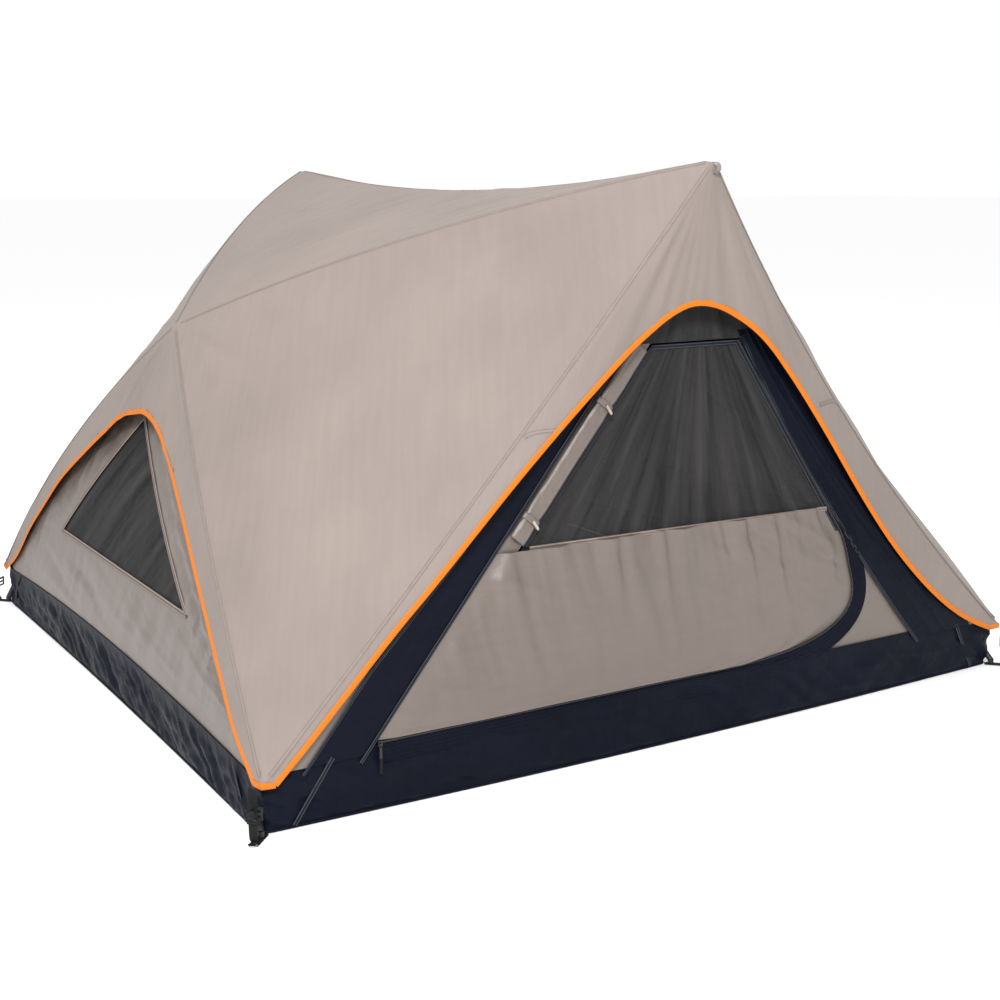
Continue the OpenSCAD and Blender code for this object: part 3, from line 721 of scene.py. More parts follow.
def strip_panel(outer, inner, rows, wrinkle, normal):
    """Cloth between a seam and the free edge, as rows of points."""
    t = np.linspace(0, 1, rows + 1)
    p = outer[:, None] * (1 - t)[None, :, None] + inner[:, None] * t[None, :, None]
    return p + normal * wrinkle(t[None, :], p)[..., None]


def gable_points(sy):
    n = FLY_N
    left, peak, right = flip(CORNER, 1, sy), flip(PEAK, 1, sy), flip(CORNER, -1, sy)
    off_l, off_r = seam_offsets(1, sy)[3], seam_offsets(-1, sy)[3]
    outer = np.concatenate([seam_points(left, peak, n, off_l), seam_points(peak, right, n, off_r)[1:]])
    xz = front_edge(sy < 0)
    top = int(np.argmax(xz[:, 1]))
    xz = np.concatenate([resample(xz[:top + 1], n + 1), resample(xz[top:], n + 1)[1:]])
    inner = np.stack([xz[:, 0], sy * (gable_y(xz[:, 1]) + 0.004), xz[:, 1]], -1)
    inner[:, 1] += sy * 0.006 * perlin(xz[:, 0] * 3, xz[:, 1] * 3, 60 + sy)

    def wrinkle(t, p):
        rel = p - peak
        r = np.linalg.norm(rel, axis=2)
        ang = np.arctan2(rel[..., 0], -rel[..., 2])
        fan = folds(ang, r, 0.11, 1.2, 70 + sy) * smooth(r / 0.25) * smooth((1.25 - r) / 0.9)
        pulls = folds(p[..., 0] + 0.4 * p[..., 2], p[..., 2], 0.14, 0.4, 80 + sy)
        return smooth(t / 0.18) * (0.0065 * fan + 0.0022 * pulls * (1 - 0.5 * t))

    return strip_panel(outer, inner, GABLE_ROWS, wrinkle, v3(0, -sy, 0.03))


def gusset_points(sx):
    n = FLY_N
    front, mid_, back = flip(CORNER, sx, 1), flip(SHOULDER, sx, 1), flip(CORNER, sx, -1)
    off_f, off_b = seam_offsets(sx, 1)[2], seam_offsets(sx, -1)[2]
    outer = np.concatenate([seam_points(front, mid_, n, off_f), seam_points(mid_, back, n, off_b)[1:]])
    yz = side_edge()
    top = int(np.argmax(yz[:, 1]))
    yz = np.concatenate([resample(yz[:top + 1], n + 1), resample(yz[top:], n + 1)[1:]])
    inner = np.stack([sx * (gusset_x(yz[:, 1]) - 0.002), yz[:, 0], yz[:, 1]], -1)

    def wrinkle(t, p):
        rel = p - mid_
        r = np.linalg.norm(rel, axis=2)
        ang = np.arctan2(rel[..., 1], -rel[..., 2])
        fan = folds(ang, r, 0.16, 0.9, 90 + sx) * smooth(r / 0.10) * smooth((0.75 - r) / 0.5)
        soft = perlin(p[..., 1] * 3.1, p[..., 2] * 4.0, 95 + sx)
        return smooth(t / 0.2) * (0.0085 * fan + 0.005 * soft)

    return strip_panel(outer, inner, GUSSET_ROWS, wrinkle, unit(v3(-sx, 0, 0.27)))


def build_fly():
    store = Patches()
    n = FLY_N
    for sx in (1, -1):
        f, s, b = PEAK, flip(SHOULDER, sx, 1), flip(PEAK, 1, -1)
        ridge, arm_f, _, _ = seam_offsets(sx, 1)
        arm_b = seam_offsets(sx, -1)[1]
        roof = panel_triangle(s, f, b, n, arm_f, ridge, arm_b, roof_wrinkle(sx, 11 + sx))
        store.triangle(roof, n, flip_faces=sx < 0)
        for sy in (1, -1):
            c, f, s = fly_corners(sx, sy)
            _, arm, leg, gable = seam_offsets(sx, sy)
            gore = panel_triangle(c, f, s, n, gable, arm, leg, gore_wrinkle(sx, sy, 31 + 2 * sx + sy))
            store.triangle(gore, n, flip_faces=sx * sy < 0)
    edges = {}
    for sy in (1, -1):
        pts = gable_points(sy)
        store.grid(pts, flip_faces=sy > 0)
        edges["front" if sy > 0 else "back"] = pts[:, -1]
    for sx in (1, -1):
        pts = gusset_points(sx)
        store.grid(pts, flip_faces=sx < 0)
        edges["left" if sx > 0 else "right"] = pts[:, -1]
    v, faces, uv = store.arrays()
    v = soften_seams(v, faces)
    fly = new_mesh("fly_shell", v, faces, uv, MAT["fly"])
    place(fly, nodes=["fly_roof_left", "fly_roof_right", "fly_gore_front_left", "fly_gore_front_right",
                             "fly_gore_back_left", "fly_gore_back_right", "fly_gable_front",
                             "fly_gable_back", "fly_gusset_left", "fly_gusset_right"])
    return edges


def seam_lines():
    """Every seam and fold of the fly, as (name, points)."""
    out = [("ridge", seam_points(PEAK, flip(PEAK, 1, -1), 120, seam_offsets(1, 1)[0]))]
    for sx in (1, -1):
        for sy in (1, -1):
            c, f, s = fly_corners(sx, sy)
            _, arm, leg, gable = seam_offsets(sx, sy)
            out += [("arm", seam_points(s, f, 120, arm)), ("leg", seam_points(c, s, 120, leg)),
                    ("gable", seam_points(c, f, 120, gable))]
    return out


def soften_seams(v, faces):
    """Rounds the folds over the poles and ridge by a few millimetres."""
    pts = np.concatenate([resample(line, 400) for _, line in seam_lines()])
    tree = KDTree(len(pts))
    for k, p in enumerate(pts):
        tree.insert(p, k)
    tree.balance()
    near = np.array([tree.find(p)[2] for p in v])
    low = smooth((v[:, 2] - 0.14) / 0.05)
    return relax(v, faces, smooth(1 - near / 0.03) * low, 5)


class Surface:
    """Finds the nearest point and normal on a mesh, so that seams and tapes lie on it."""

    def __init__(self, *objs):
        verts, polys = [], []
        for o in objs:
            polys += [[len(verts) + i for i in p.vertices] for p in o.data.polygons]
            verts += [v.co.copy() for v in o.data.vertices]
        self.tree = BVHTree.FromPolygons(verts, polys)

    def settle(self, path, out):
        """The path moved onto the surface, with normals that face the given direction."""
        p, n = [], []
        for q in path:
            co, nrm, _, _ = self.tree.find_nearest(Vector(q))
            p.append(co)
            n.append(nrm if nrm.dot(Vector(out)) > 0 else -nrm)
        p, n = np.array(p), np.array(n)
        for _ in range(3):
            n[1:-1] = unit(n[:-2] + n[1:-1] * 2 + n[2:])
        return smoothed(p, 3), n


def build_binding(edges):
    """Flat orange binding folded over the fly's whole lower edge."""
    store = Patches()
    outs = {"front": (0, -1, 0.03), "back": (0, 1, 0.03), "left": (-1, 0, 0.27), "right": (1, 0, 0.27)}
    for name, line in edges.items():
        p = smoothed(resample(line, 220), 3)
        n = np.tile(unit(v3(*outs[name])), (len(p), 1))
        pts, uv = tube(p, n, 0.0078, 0.0017, 14)
        store.grid(pts, uv)
    for sx in (1, -1):
        for sy in (1, -1):
            a = edges["front" if sy > 0 else "back"][0 if sx > 0 else -1]
            b = edges["left" if sx > 0 else "right"][0 if sy > 0 else -1]
            c = flip(CORNER, sx, sy) + [-sx * 0.001, -sy * 0.002, 0]
            p = smoothed(resample(np.array([a, c, b]), 24), 4)
            n = np.tile(unit(v3(-sx, -sy, 0.2)), (len(p), 1))
            pts, uv = tube(p, n, 0.0078, 0.0022, 14)
            store.grid(pts, uv)
    sewn(store, "edge_binding", "piping", nodes=["gable_piping", "gusset_piping"])


def build_fly_seams(fly):
    """Felled seams along the folds, and the short seams across the legs of the end panels."""
    surf = Surface(fly)
    store = Patches()
    for name, line in seam_lines():
        middle = line[60]
        along = 2.0 if name == "gable" else 0.6
        out = (0, 0, 1) if name == "ridge" else (middle[0], middle[1] * along, 0.4)
        line = resample(line, 260)[4:-4]
        p, n = surf.settle(line, out)
        ribbon(store, p, n, 0.011, 0.0004, 0.0006)
    for sy in (1, -1):
        for sx in (1, -1):
            top = v3(-sx * 0.545, sy * gable_y(0.885), 0.885)
            low = v3(-sx * 0.420, sy * gable_y(0.868), 0.868)
            p, n = surf.settle(resample([top, low], 20), (0, -sy, 0))
            ribbon(store, p, n, 0.012, 0.0006, 0.0010)
            a = v3(sx * gusset_x(0.70), -sy * 0.345, 0.70)
            b = v3(sx * gusset_x(0.70), -sy * 0.225, 0.68)
            p, n = surf.settle(resample([a, b], 20), (-sx, 0, 0.3))
            ribbon(store, p, n, 0.012, 0.0006, 0.0010)
    sewn(store, "fly_seams", "fly_seam")


# ---------------------------------------------------------------- inner tent: end walls

WALL_OUT = v3(0, -1, WALL_LEAN)


def wall(x, z, lift=0.0):
    """Point on the inner tent's front wall, lift in front of it."""
    x, z = np.broadcast_arrays(np.asarray(x, float), np.asarray(z, float))
    y = END_Y + WALL_LEAN * z - lift
    return np.stack([x, y + 0 * x, z], -1)


def hinge_x(z):
    return -HINGE_BASE + (HINGE_BASE - HINGE_TOP) * (z - DOOR_BASE) / (DOOR_TOP - DOOR_BASE)


def band_x(z):
    """Left edge of the right-hand band, which bows in beside the door."""
    t = (z - 0.149) / (1.113 - 0.149)
    return 0.840 + (0.125 - 0.840) * t - 0.036 * 4 * t * (1 - t)


def outer_x(z):
    """Outer edge of the inner end wall, which hangs in a little between the corner and the peak."""
    t = np.clip((z - 0.118) / 1.276, 0, 1)
    return 1.170 * (1 - t) - INNER_PULL * 4 * t * (1 - t)


DOOR_EDGE = np.concatenate([
    cubic((0.10, 0.172), (0.36, 0.170), (0.50, 0.205), (0.560, 0.262), 40),
    cubic((0.560, 0.262), (0.600, 0.300), (0.590, 0.345), (0.570, 0.400), 30)[1:],
    cubic((0.570, 0.400), (0.560, 0.440), (0.552, 0.470), (0.530, 0.505), 20)[1:],
    cubic((0.530, 0.505), (0.45, 0.62), (0.30, 0.83), (0.148, 1.050), 60)[1:]])


def door_x(z):
    """Free edge of the door: low and flat, round the corner, then up the slope."""
    return np.interp(z, DOOR_EDGE[:, 1], DOOR_EDGE[:, 0])


def wall_grid(left, right, rows, cols, lift):
    """Points between two edges of the front wall at the heights in rows; lift(u, x, z) stands them off it."""
    z = np.asarray(rows)[:, None]
    u = np.linspace(0, 1, cols)[None, :]
    x = left(z) * (1 - u) + right(z) * u
    z = z + 0 * x
    return wall(x, z, lift(u + 0 * x, x, z))


def wall_piece(name, k, pts, mat):
    """The same piece at the front (k = 0) or turned half round to the back (k = 1)."""
    turn = 1 - 2 * k
    store = Patches()
    store.grid(pts * [turn, turn, 1], grid_uv(pts))
    v, f, u = store.arrays(1e-7)
    return new_mesh(name, v, f, u, mat)


TAPE_STEP = 0.012


def wall_tape(store, xz, width, lift, k, arch=0.0008):
    """A tape along a line on the end wall."""
    line = resample(xz, max(8, int(distance_along(xz)[-1] / TAPE_STEP)))
    turn = 1 - 2 * k
    p = wall(line[:, 0], line[:, 1], 0) * [turn, turn, 1]
    n = np.tile(unit(WALL_OUT) * [turn, turn, 1], (len(p), 1))
    ribbon(store, p, n, width, lift, arch)


def line_xz(fx, z0, z1, n=40):
    z = np.linspace(z0, z1, n)
    return np.stack([fx(z) + 0 * z, z], -1)


def build_end(k):
    end = ("front", "back")[k]
    seed = 100 + 50 * k
    # navy bands at both sides
    rows = np.linspace(0.146, 1.075, 110)
    left_out = lambda z: -np.minimum(np.interp(z, [0.12, 0.144, 0.50, 1.1], [1.105, 1.084, 0.790, 0.300]),
                                     outer_x(z) - 0.014)

    def band_lift(u, x, z):
        return 0.0035 * folds(u * 0.12, z, 0.035, 0.35, seed) * np.sin(math.pi * np.clip(u, 0, 1)) + 0.001

    pts = wall_grid(left_out, hinge_x, rows, 16, band_lift)
    obj = wall_piece(end + "_left_band", k, pts, MAT["navy"])
    place(obj, nodes=[end + "_band_left"])
    right_out = lambda z: -left_out(z)

    def rib_lift(u, x, z):
        seams = np.exp(-((u - 0.33) / 0.035) ** 2) + np.exp(-((u - 0.55) / 0.035) ** 2)
        return 0.004 * folds(u * 0.2, z, 0.045, 0.4, seed + 3) * np.sin(math.pi * u) + 0.0022 * seams + 0.001

    pts = wall_grid(band_x, right_out, rows, 40, rib_lift)
    obj = wall_piece(end + "_right_band", k, pts, MAT["navy"])
    place(obj, nodes=[end + "_band_right"])

    # taupe slivers between the bands and the fly's edge
    for sx, name in ((-1, "left"), (1, "right")):
        inner = (lambda z: left_out(z) + 0.004) if sx < 0 else (lambda z: right_out(z) - 0.004)
        pts = wall_grid(inner, lambda z: sx * outer_x(z), np.linspace(0.146, 1.06, 60), 8,
                        lambda u, x, z: 0.003 * folds(u * 0.06, z, 0.03, 0.2, seed + 5) * (1 - u) - 0.001)
        obj = wall_piece(f"{end}_{name}_sliver", k, pts, MAT["inner"])
        place(obj)

    build_door(k, end, seed)

    # taupe corner piece outside the zip
    zs = np.concatenate([np.linspace(0.147, 0.200, 10), np.linspace(0.208, 0.56, 36)])
    pts = wall_grid(lambda z: door_x(np.maximum(z, 0.19)) - 0.012, lambda z: band_x(z) + 0.004, zs, 26,
                    lambda u, x, z: 0.0045 * folds(x + 0.5 * z, z, 0.07, 0.2, seed + 7) * np.sin(math.pi * u)
                    * smooth((z - 0.155) / 0.03) - 0.0035)
    obj = wall_piece(end + "_corner_piece", k, pts, MAT["inner"])
    place(obj, nodes=[end + "_corner_gore"])

    # ribbed navy band that carries the zip
    path = zip_path()
    tang = unit(np.gradient(path, axis=0))
    side = np.stack([tang[:, 1], -tang[:, 0]], -1)
    s = distance_along(path)
    u = np.linspace(0, 1, 30)
    wide = np.interp(s, [0, 0.9, 1.15, 1.45, s[-1]], [0.050, 0.056, 0.062, 0.056, 0.030])
    xz = path[:, None] + side[:, None] * (u[None, :] * wide[:, None])[..., None]
    ribs = 0.0016 * np.cos(u * 2 * math.pi * 5)[None, :]
    pucker = 0.0016 * folds(s[:, None], u[None, :] * 0.06, 0.022, 0.08, seed + 8)
    swell = 0.0018 * np.sin(math.pi * u)[None, :]
    pts = wall(xz[..., 0], xz[..., 1], 0.0030 + ribs + swell + pucker * np.sin(math.pi * u)[None, :])
    obj = wall_piece(end + "_zip_band", k, pts, MAT["navy"])
    place(obj, nodes=[end + "_zip_facing"])
    build_zip_coil(k, end, path)

    # mesh above the door, up to the peak
    zs = np.linspace(1.054, 1.388, 40)
    pts = wall_grid(lambda z: -outer_x(z) + 0.004, lambda z: outer_x(z) - 0.004, zs, 50,
                    lambda u, x, z: 0.006 * folds(x, z, 0.09, 0.5, seed + 9) * np.sin(math.pi * u))
    obj = wall_piece(end + "_mesh_top", k, pts, MAT["mesh"])
    place(obj, nodes=[end + "_top_mesh"])

    # strip beside the mesh, that the door hangs from
    pts = wall_grid(hinge_x, lambda z: hinge_x(z) + STRIP_W - 0.003, np.linspace(0.566, 1.055, 42), 6,
                    lambda u, x, z: -0.0015 + 0 * x)
    obj = wall_piece(end + "_upper_strip", k, pts, MAT["inner"])
    place(obj)
    build_roll(k, end, seed)

    # seam tapes
    store = Patches()
    wall_tape(store, line_xz(lambda z: hinge_x(z) - 0.004, 0.13, 1.06), 0.010, 0.0040, k)
    wall_tape(store, line_xz(left_out, 0.13, 0.60), 0.008, 0.0035, k)
    wall_tape(store, line_xz(lambda z: band_x(z) + 0.003, 0.13, 1.06), 0.010, 0.0045, k)
    sewn(store, end + "_wall_seams", "navy_seam")


def zip_path():
    """Line of the zip in (x, z): along the door's foot, round its corner and up its free edge."""
    low = np.stack([np.linspace(hinge_x(0.172) + 0.006, 0.10, 60), np.full(60, 0.172)], -1)
    return resample(np.concatenate([low, DOOR_EDGE[1:]]), 300)


def build_zip_coil(k, end, path):
    """Spiral zip: a row of small teeth between the door's hem and the band."""
    n = 620
    p2 = resample(path, n)
    teeth = 0.0009 * np.cos(np.arange(n) * math.pi / 2)
    turn = 1 - 2 * k
    p = wall(p2[:, 0], p2[:, 1], 0.0052) * [turn, turn, 1]
    nrm = np.tile(unit(WALL_OUT) * [turn, turn, 1], (n, 1))
    pts, uv = tube(p, nrm, 0.0026, 0.0014, 8)
    pts = pts + nrm[:, None] * teeth[:, None, None]
    store = Patches()
    store.grid(pts, uv)
    sewn(store, end + "_zip_coil", "plastic")


def build_door(k, end, seed):
    """Door panel and mesh beside the hinge strip; the mesh, its seam and its tapes ride on the door's body."""
    body = end + "_door"
    rows = np.concatenate([np.linspace(0.176, 0.230, 22), np.linspace(0.234, 0.578, 88)])

    def panel_lift(u, x, z):
        gather = folds(x - 0.25 * (DOOR_SEAM - z), z, 0.060, 0.50, seed + 11)
        drawn = smooth((z - 0.17) / 0.12) * (0.35 + 0.65 * smooth((z - 0.25) / 0.3))
        corner = folds(u * 0.9 + z, z - x * 0.4, 0.08, 0.3, seed + 12) * smooth((x + 0.2) / 0.6)
        pulls = folds(z + 0.30 * x, x, 0.09, 0.6, seed + 13) * smooth(1 - u * 1.4)
        mask = smooth(u / 0.05) * smooth((1 - u) / 0.06)
        hem = 0.0012 * np.exp(-((z - 0.192) / 0.006) ** 2)
        return mask * (0.0250 * gather * drawn + 0.0130 * corner + 0.0080 * pulls + 0.0090) + hem + 0.0005

    pts = wall_grid(lambda z: hinge_x(z) + 0.003, lambda z: door_x(z) - 0.004, rows, 150, panel_lift)
    panel = wall_piece(end + "_door_cloth", k, pts, MAT["inner"])
    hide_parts(end + "_door_panel", end + "_hinge_strip")
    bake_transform(panel)

    def mesh_lift(u, x, z):
        return 0.004 * folds(x + 0.3 * z, z, 0.07, 0.6, seed + 14) * np.sin(math.pi * u) - 0.001

    pts = wall_grid(lambda z: hinge_x(z) + STRIP_W + 0.004, lambda z: door_x(z) - 0.004,
                    np.linspace(0.574, 1.046, 70), 70, mesh_lift)
    mesh = wall_piece(end + "_door_net", k, pts, MAT["mesh"])
    place(mesh, body, nodes=[end + "_door_mesh"])

    store = Patches()
    seam = resample([(hinge_x(0.577) + STRIP_W + 0.026, 0.579), (door_x(0.572) - 0.004, 0.570)], 60)
    wall_tape(store, seam, 0.013, 0.0030, k, 0.0012)
    sewn(store, end + "_door_seam", "inner_seam", body)
    store = Patches()
    edge = np.concatenate([DOOR_EDGE[DOOR_EDGE[:, 1] > 0.50], [[door_x(1.045) - 0.004, 1.046]]])
    wall_tape(store, edge - [0.007, 0], 0.012, 0.0022, k)
    wall_tape(store, np.array([(hinge_x(1.044) + STRIP_W + 0.006, 1.044), (door_x(1.044) - 0.006, 1.044)]),
              0.012, 0.0022, k)
    wall_tape(store, line_xz(lambda z: hinge_x(z) + STRIP_W + 0.008, 0.585, 1.042), 0.010, 0.0022, k)
    sewn(store, end + "_net_tape", "navy_seam", body)
    build_slider(k, end)


def build_slider(k, end):
    """Slider and pull at the hinge end of the zip; the pull hangs from the bridge on a cord tab."""
    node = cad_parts[end + "_zip_slider"]
    node.data.materials.clear()
    node.data.materials.append(MAT["zip"])
    low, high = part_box(end + "_zip_slider")
    x = (low[0] + high[0]) / 2
    turn = 1 - 2 * k
    y = low[1] - 0.0012 if k == 0 else high[1] + 0.0012
    z = np.linspace(low[2] + 0.006, low[2] - 0.030, 14)
    p = np.stack([x + 0 * z, y + turn * 0.002 * (1 - smooth((z - low[2] + 0.03) / 0.03)), z], -1)
    nrm = np.tile(v3(0, -turn, 0), (len(p), 1))
    pts, uv = tube(p, nrm, 0.0042, 0.0012, 10)
    store = Patches()
    store.grid(pts, uv)
    sewn(store, end + "_pull_tape", "webbing", end + "_slider")


def strip_frame(k, z):
    """Middle of the hinge strip at height z, with the directions up it, across it and out."""
    turn = 1 - 2 * k
    t = v3(turn, turn, 1)
    up = unit(v3(HINGE_BASE - HINGE_TOP, 0.0126, DOOR_TOP - DOOR_BASE)) * t
    out = unit(WALL_OUT) * t
    across = unit(np.cross(out, up))
    if across[0] * turn < 0:
        across = -across
    return wall(hinge_x(z) + STRIP_W / 2, z) * t, up, across, out


def build_roll(k, end, seed):
    """Privacy panel, folded flat along the hinge strip, with two loops and toggles."""
    base, up, across, out = strip_frame(k, 0.604)
    top = strip_frame(k, 1.050)[0]
    length = np.linalg.norm(top - base)
    n, m = 130, 40
    v = np.linspace(0, length, n)
    a = np.linspace(0, 2 * math.pi, m + 1)
    pinch = 1 - 0.10 * sum(np.exp(-((v - c) / 0.022) ** 2) for c in LOOP_AT)
    wide = 0.0225 * pinch * (1 + 0.03 * np.sin(v * 19))
    thick = 0.0062 * (1 - 0.25 * (1 - pinch) * 10) * (1 + 0.15 * np.sin(v * 31 + 1))
    ca, sa = np.cos(a), np.sin(a)
    flat = np.sign(ca) * np.abs(ca) ** 0.75
    wr = folds(v[:, None] + 0.35 * flat[None, :] * 0.06, flat[None, :] * 0.06, 0.045, 0.10, seed + 21)
    front = smooth(sa * 1.5)[None, :]
    layers = 0.0010 * np.sin(flat * 9 + 1.5)[None, :] * front
    pts = base + up * v[:, None, None] + across * (flat[None, :] * wide[:, None])[..., None] \
        + out * (0.0100 + sa[None, :] * thick[:, None] + front * 0.0026 * wr + layers)[..., None]
    cap = lambda i: np.repeat(pts[i].mean(0)[None], m + 1, 0)
    pts = np.concatenate([[cap(0)], pts, [cap(-1)]])
    store = Patches()
    store.grid(pts)
    roll = sewn(store, end + "_roll", "inner", nodes=[end + "_privacy_roll"], weld=2e-5)
    store = Patches()
    for c in LOOP_AT:
        mid_ = base + up * c + out * 0.0100
        aa = np.linspace(0.15 * math.pi, 1.0 * math.pi, 26)
        loop = mid_ + across * (np.cos(aa) * 0.0250)[:, None] + out * (np.sin(aa) * 0.0088)[:, None]
        line = resample(loop, 50)
        tang = unit(np.gradient(line, axis=0))
        nrm = unit(np.cross(tang, np.tile(up, (len(line), 1))))
        nrm = np.where((nrm @ out)[:, None] < 0, -nrm, nrm)
        pts, uv = tube(line, nrm, 0.0085, 0.0019, 12)
        capped = np.concatenate([[np.repeat(pts[0].mean(0)[None], 13, 0)], pts])
        store.grid(capped, np.concatenate([uv[:1], uv]))
    nodes = ["roll_toggles"] if k == 0 else []
    sewn(store, end + "_roll_loops", "inner", nodes=nodes, weld=1e-6)
    store = Patches()
    for c in LOOP_AT:
        mid_ = base + up * (c - 0.006) + across * 0.0115 + out * 0.0235
        t = np.linspace(0, math.pi, 16)
        line = mid_ + across * (-np.cos(t) * 0.013)[:, None] - up * (-np.cos(t) * 0.004)[:, None]
        r = 0.0044 * np.sin(t) ** 0.35 + 1e-5
        r = r * (1 - 0.18 * np.exp(-((t - math.pi / 2) / 0.25) ** 2))
        b = np.linspace(0, 2 * math.pi, 17)
        pts = line[:, None] + up * (np.cos(b)[None, :] * r[:, None])[..., None] \
            + out * (np.sin(b)[None, :] * r[:, None])[..., None]
        store.grid(pts)
    sewn(store, end + "_toggles", "toggle", weld=1e-6)


# ---------------------------------------------------------------- inner tent: sides and roof

SIDE_LEAN = 0.3126
SIDE_FOOT_Y, SIDE_FOOT_Z, SIDE_TOP_Z = 1.118, 0.118, 0.930
WIN = {"near": -0.585, "far": 0.555, "base": 0.368, "apex_y": 0.132, "apex_z": 0.772}


def tub_side_top(y):
    """Height of the tub's side wall, which rises towards its middle."""
    return 0.160 - 0.028 * y * y


def side_wall_point(y, z, lift=0.0):
    """Point on the inner tent's left side wall, lift outside it."""
    y, z = np.broadcast_arrays(np.asarray(y, float), np.asarray(z, float))
    bulge = 0.070 * np.sin(math.pi * np.clip((z - 0.02) / 0.92, 1e-6, 1)) ** 0.8
    x = SIDE_X + SIDE_LEAN * z - lift - bulge
    return np.stack([x, y + 0 * x, z + 0.3 * np.asarray(lift) + 0 * x], -1)


def side_outline(n):
    """Closed outline of a side wall as (y, z): both slopes bow out with the poles, the foot follows the tub."""
    t = np.linspace(0, 1, n, endpoint=False)
    bowed = 4 * t * (1 - t)
    rise = SIDE_FOOT_Z + (SIDE_TOP_Z - SIDE_FOOT_Z) * t
    slope = np.stack([-SIDE_FOOT_Y * (1 - t) - 0.060 * bowed, rise + 0.055 * bowed], -1)
    far = np.concatenate([slope[1:], [[0, SIDE_TOP_Z]]])[::-1] * [-1, 1]
    y = np.linspace(SIDE_FOOT_Y, -SIDE_FOOT_Y, n, endpoint=False)
    foot = np.stack([y, tub_side_top(y) - 0.006], -1)
    return np.concatenate([slope, far, foot])


def window_line(n):
    """Closed outline of a side window as (y, z), n points to a side."""
    c = np.array([(WIN["near"], WIN["base"]), (WIN["apex_y"], WIN["apex_z"]), (WIN["far"], WIN["base"])])
    t = np.linspace(0, 1, n, endpoint=False)[:, None]
    return np.concatenate([c[k] + (c[(k + 1) % 3] - c[k]) * t for k in range(3)])


def build_side(sx, name):
    seed = 300 + 40 * (sx > 0)
    n, rows = 100, 40
    outer, win = side_outline(n), window_line(n)
    outer = np.concatenate([outer, outer[:1]])
    win = np.concatenate([win, win[:1]])
    t = np.linspace(0, 1, rows)[None, :, None]
    yz = outer[:, None] * (1 - t) + win[:, None] * t
    y, z = yz[..., 0], yz[..., 1]
    tt = t[..., 0] + 0 * y
    # a soft crease beside the near edge of the window, and gathers that hang from the arch
    edge = unit(np.array([WIN["apex_y"] - WIN["near"], WIN["apex_z"] - WIN["base"]]))
    off = (y - WIN["near"]) * -edge[1] + (z - WIN["base"]) * edge[0]
    crease = np.exp(-((off - 0.075) / 0.012) ** 2) - 0.6 * np.exp(-((off - 0.050) / 0.016) ** 2)
    lift = np.sin(math.pi * tt) * (0.0085 * folds(y + 0.4 * z, z, 0.075, 0.35, seed)
                                   + 0.0060 * folds(z - 0.2 * y, y, 0.06, 0.5, seed + 1)
                                   + 0.0045 * crease) + 0.002
    store = Patches()
    store.grid(side_wall_point(y, z, lift) * [sx, 1, 1], np.stack([y, z], -1))
    cloth = sewn(store, name + "_side_cloth", "inner", nodes=["side_wall_" + name], weld=1e-6)
    m = 90
    i, j = np.tril_indices(m + 1)
    w = np.stack([1 - i / m, (i - j) / m, j / m], -1)
    c = win[[0, n, 2 * n]]
    yz = w @ ((c - c.mean(0)) * 1.012 + c.mean(0))
    lift = 0.005 * folds(yz[:, 0], yz[:, 1], 0.08, 0.5, seed + 2) * smooth(w.min(1) / 0.1) - 0.0005
    store = Patches()
    store.triangle(side_wall_point(yz[:, 0], yz[:, 1], lift) * [sx, 1, 1], m)
    net = sewn(store, name + "_window_net", "window", nodes=["side_window_" + name], weld=1e-6)
    store = Patches()
    loop = resample(np.concatenate([win[:-1], win[:1]]), 260)
    p = side_wall_point(loop[:, 0], loop[:, 1], 0.0035) * [sx, 1, 1]
    ribbon(store, p, np.tile(unit(v3(-sx, 0, 0.34)), (len(p), 1)), 0.014, 0.0005, 0.0012)
    sewn(store, name + "_window_seam", "inner_seam")


def build_inner_top():
    """Gores and roof of the inner tent, hung from the poles by clips."""
    n = 44
    for sy, end in ((1, "front"), (-1, "back")):
        store = Patches()
        for sx in (1, -1):
            corner = flip(IN_CORNER, sx, sy)
            peak = flip(IN_PEAK, 1, sy)
            sh = flip(IN_SHOULDER, sx, 1)
            sag = unit(np.cross(peak - corner, sh - corner))
            sag = sag if sag[2] < 0 else -sag
            f = lambda w, p: 0.004 * folds(p[:, 0] + p[:, 1], p[:, 2], 0.11, 0.6, 400) * edge_mask(w, 0.1)
            pts = panel_triangle(corner, peak, sh, n, bow(v3(sx, 0, 0), INNER_PULL), bow(sag, 0.004),
                                 bow(flip(LEG_DIR, sx, sy), 0.060), f)
            store.triangle(pts, n, flip_faces=sx * sy < 0)
        obj = sewn(store, "inner_gore_" + end, "inner", nodes=["inner_gores_" + end], weld=2e-4)
    for sx, name in ((1, "left"), (-1, "right")):
        store = Patches()
        f = lambda w, p: 0.005 * folds(p[:, 1], p[:, 0], 0.16, 0.6, 420) * edge_mask(w, 0.1)
        sh = flip(IN_SHOULDER, sx, 1)
        low = v3(0, 0, -1)
        pts = panel_triangle(sh, IN_PEAK, flip(IN_PEAK, 1, -1), n, bow(low, 0.012), bow(low, 0.060),
                             bow(low, 0.012), f)
        store.triangle(pts, n, flip_faces=sx < 0)
        obj = sewn(store, "inner_top_" + name, "inner", nodes=["inner_roof_" + name], weld=2e-4)


# ---------------------------------------------------------------- floor and tub

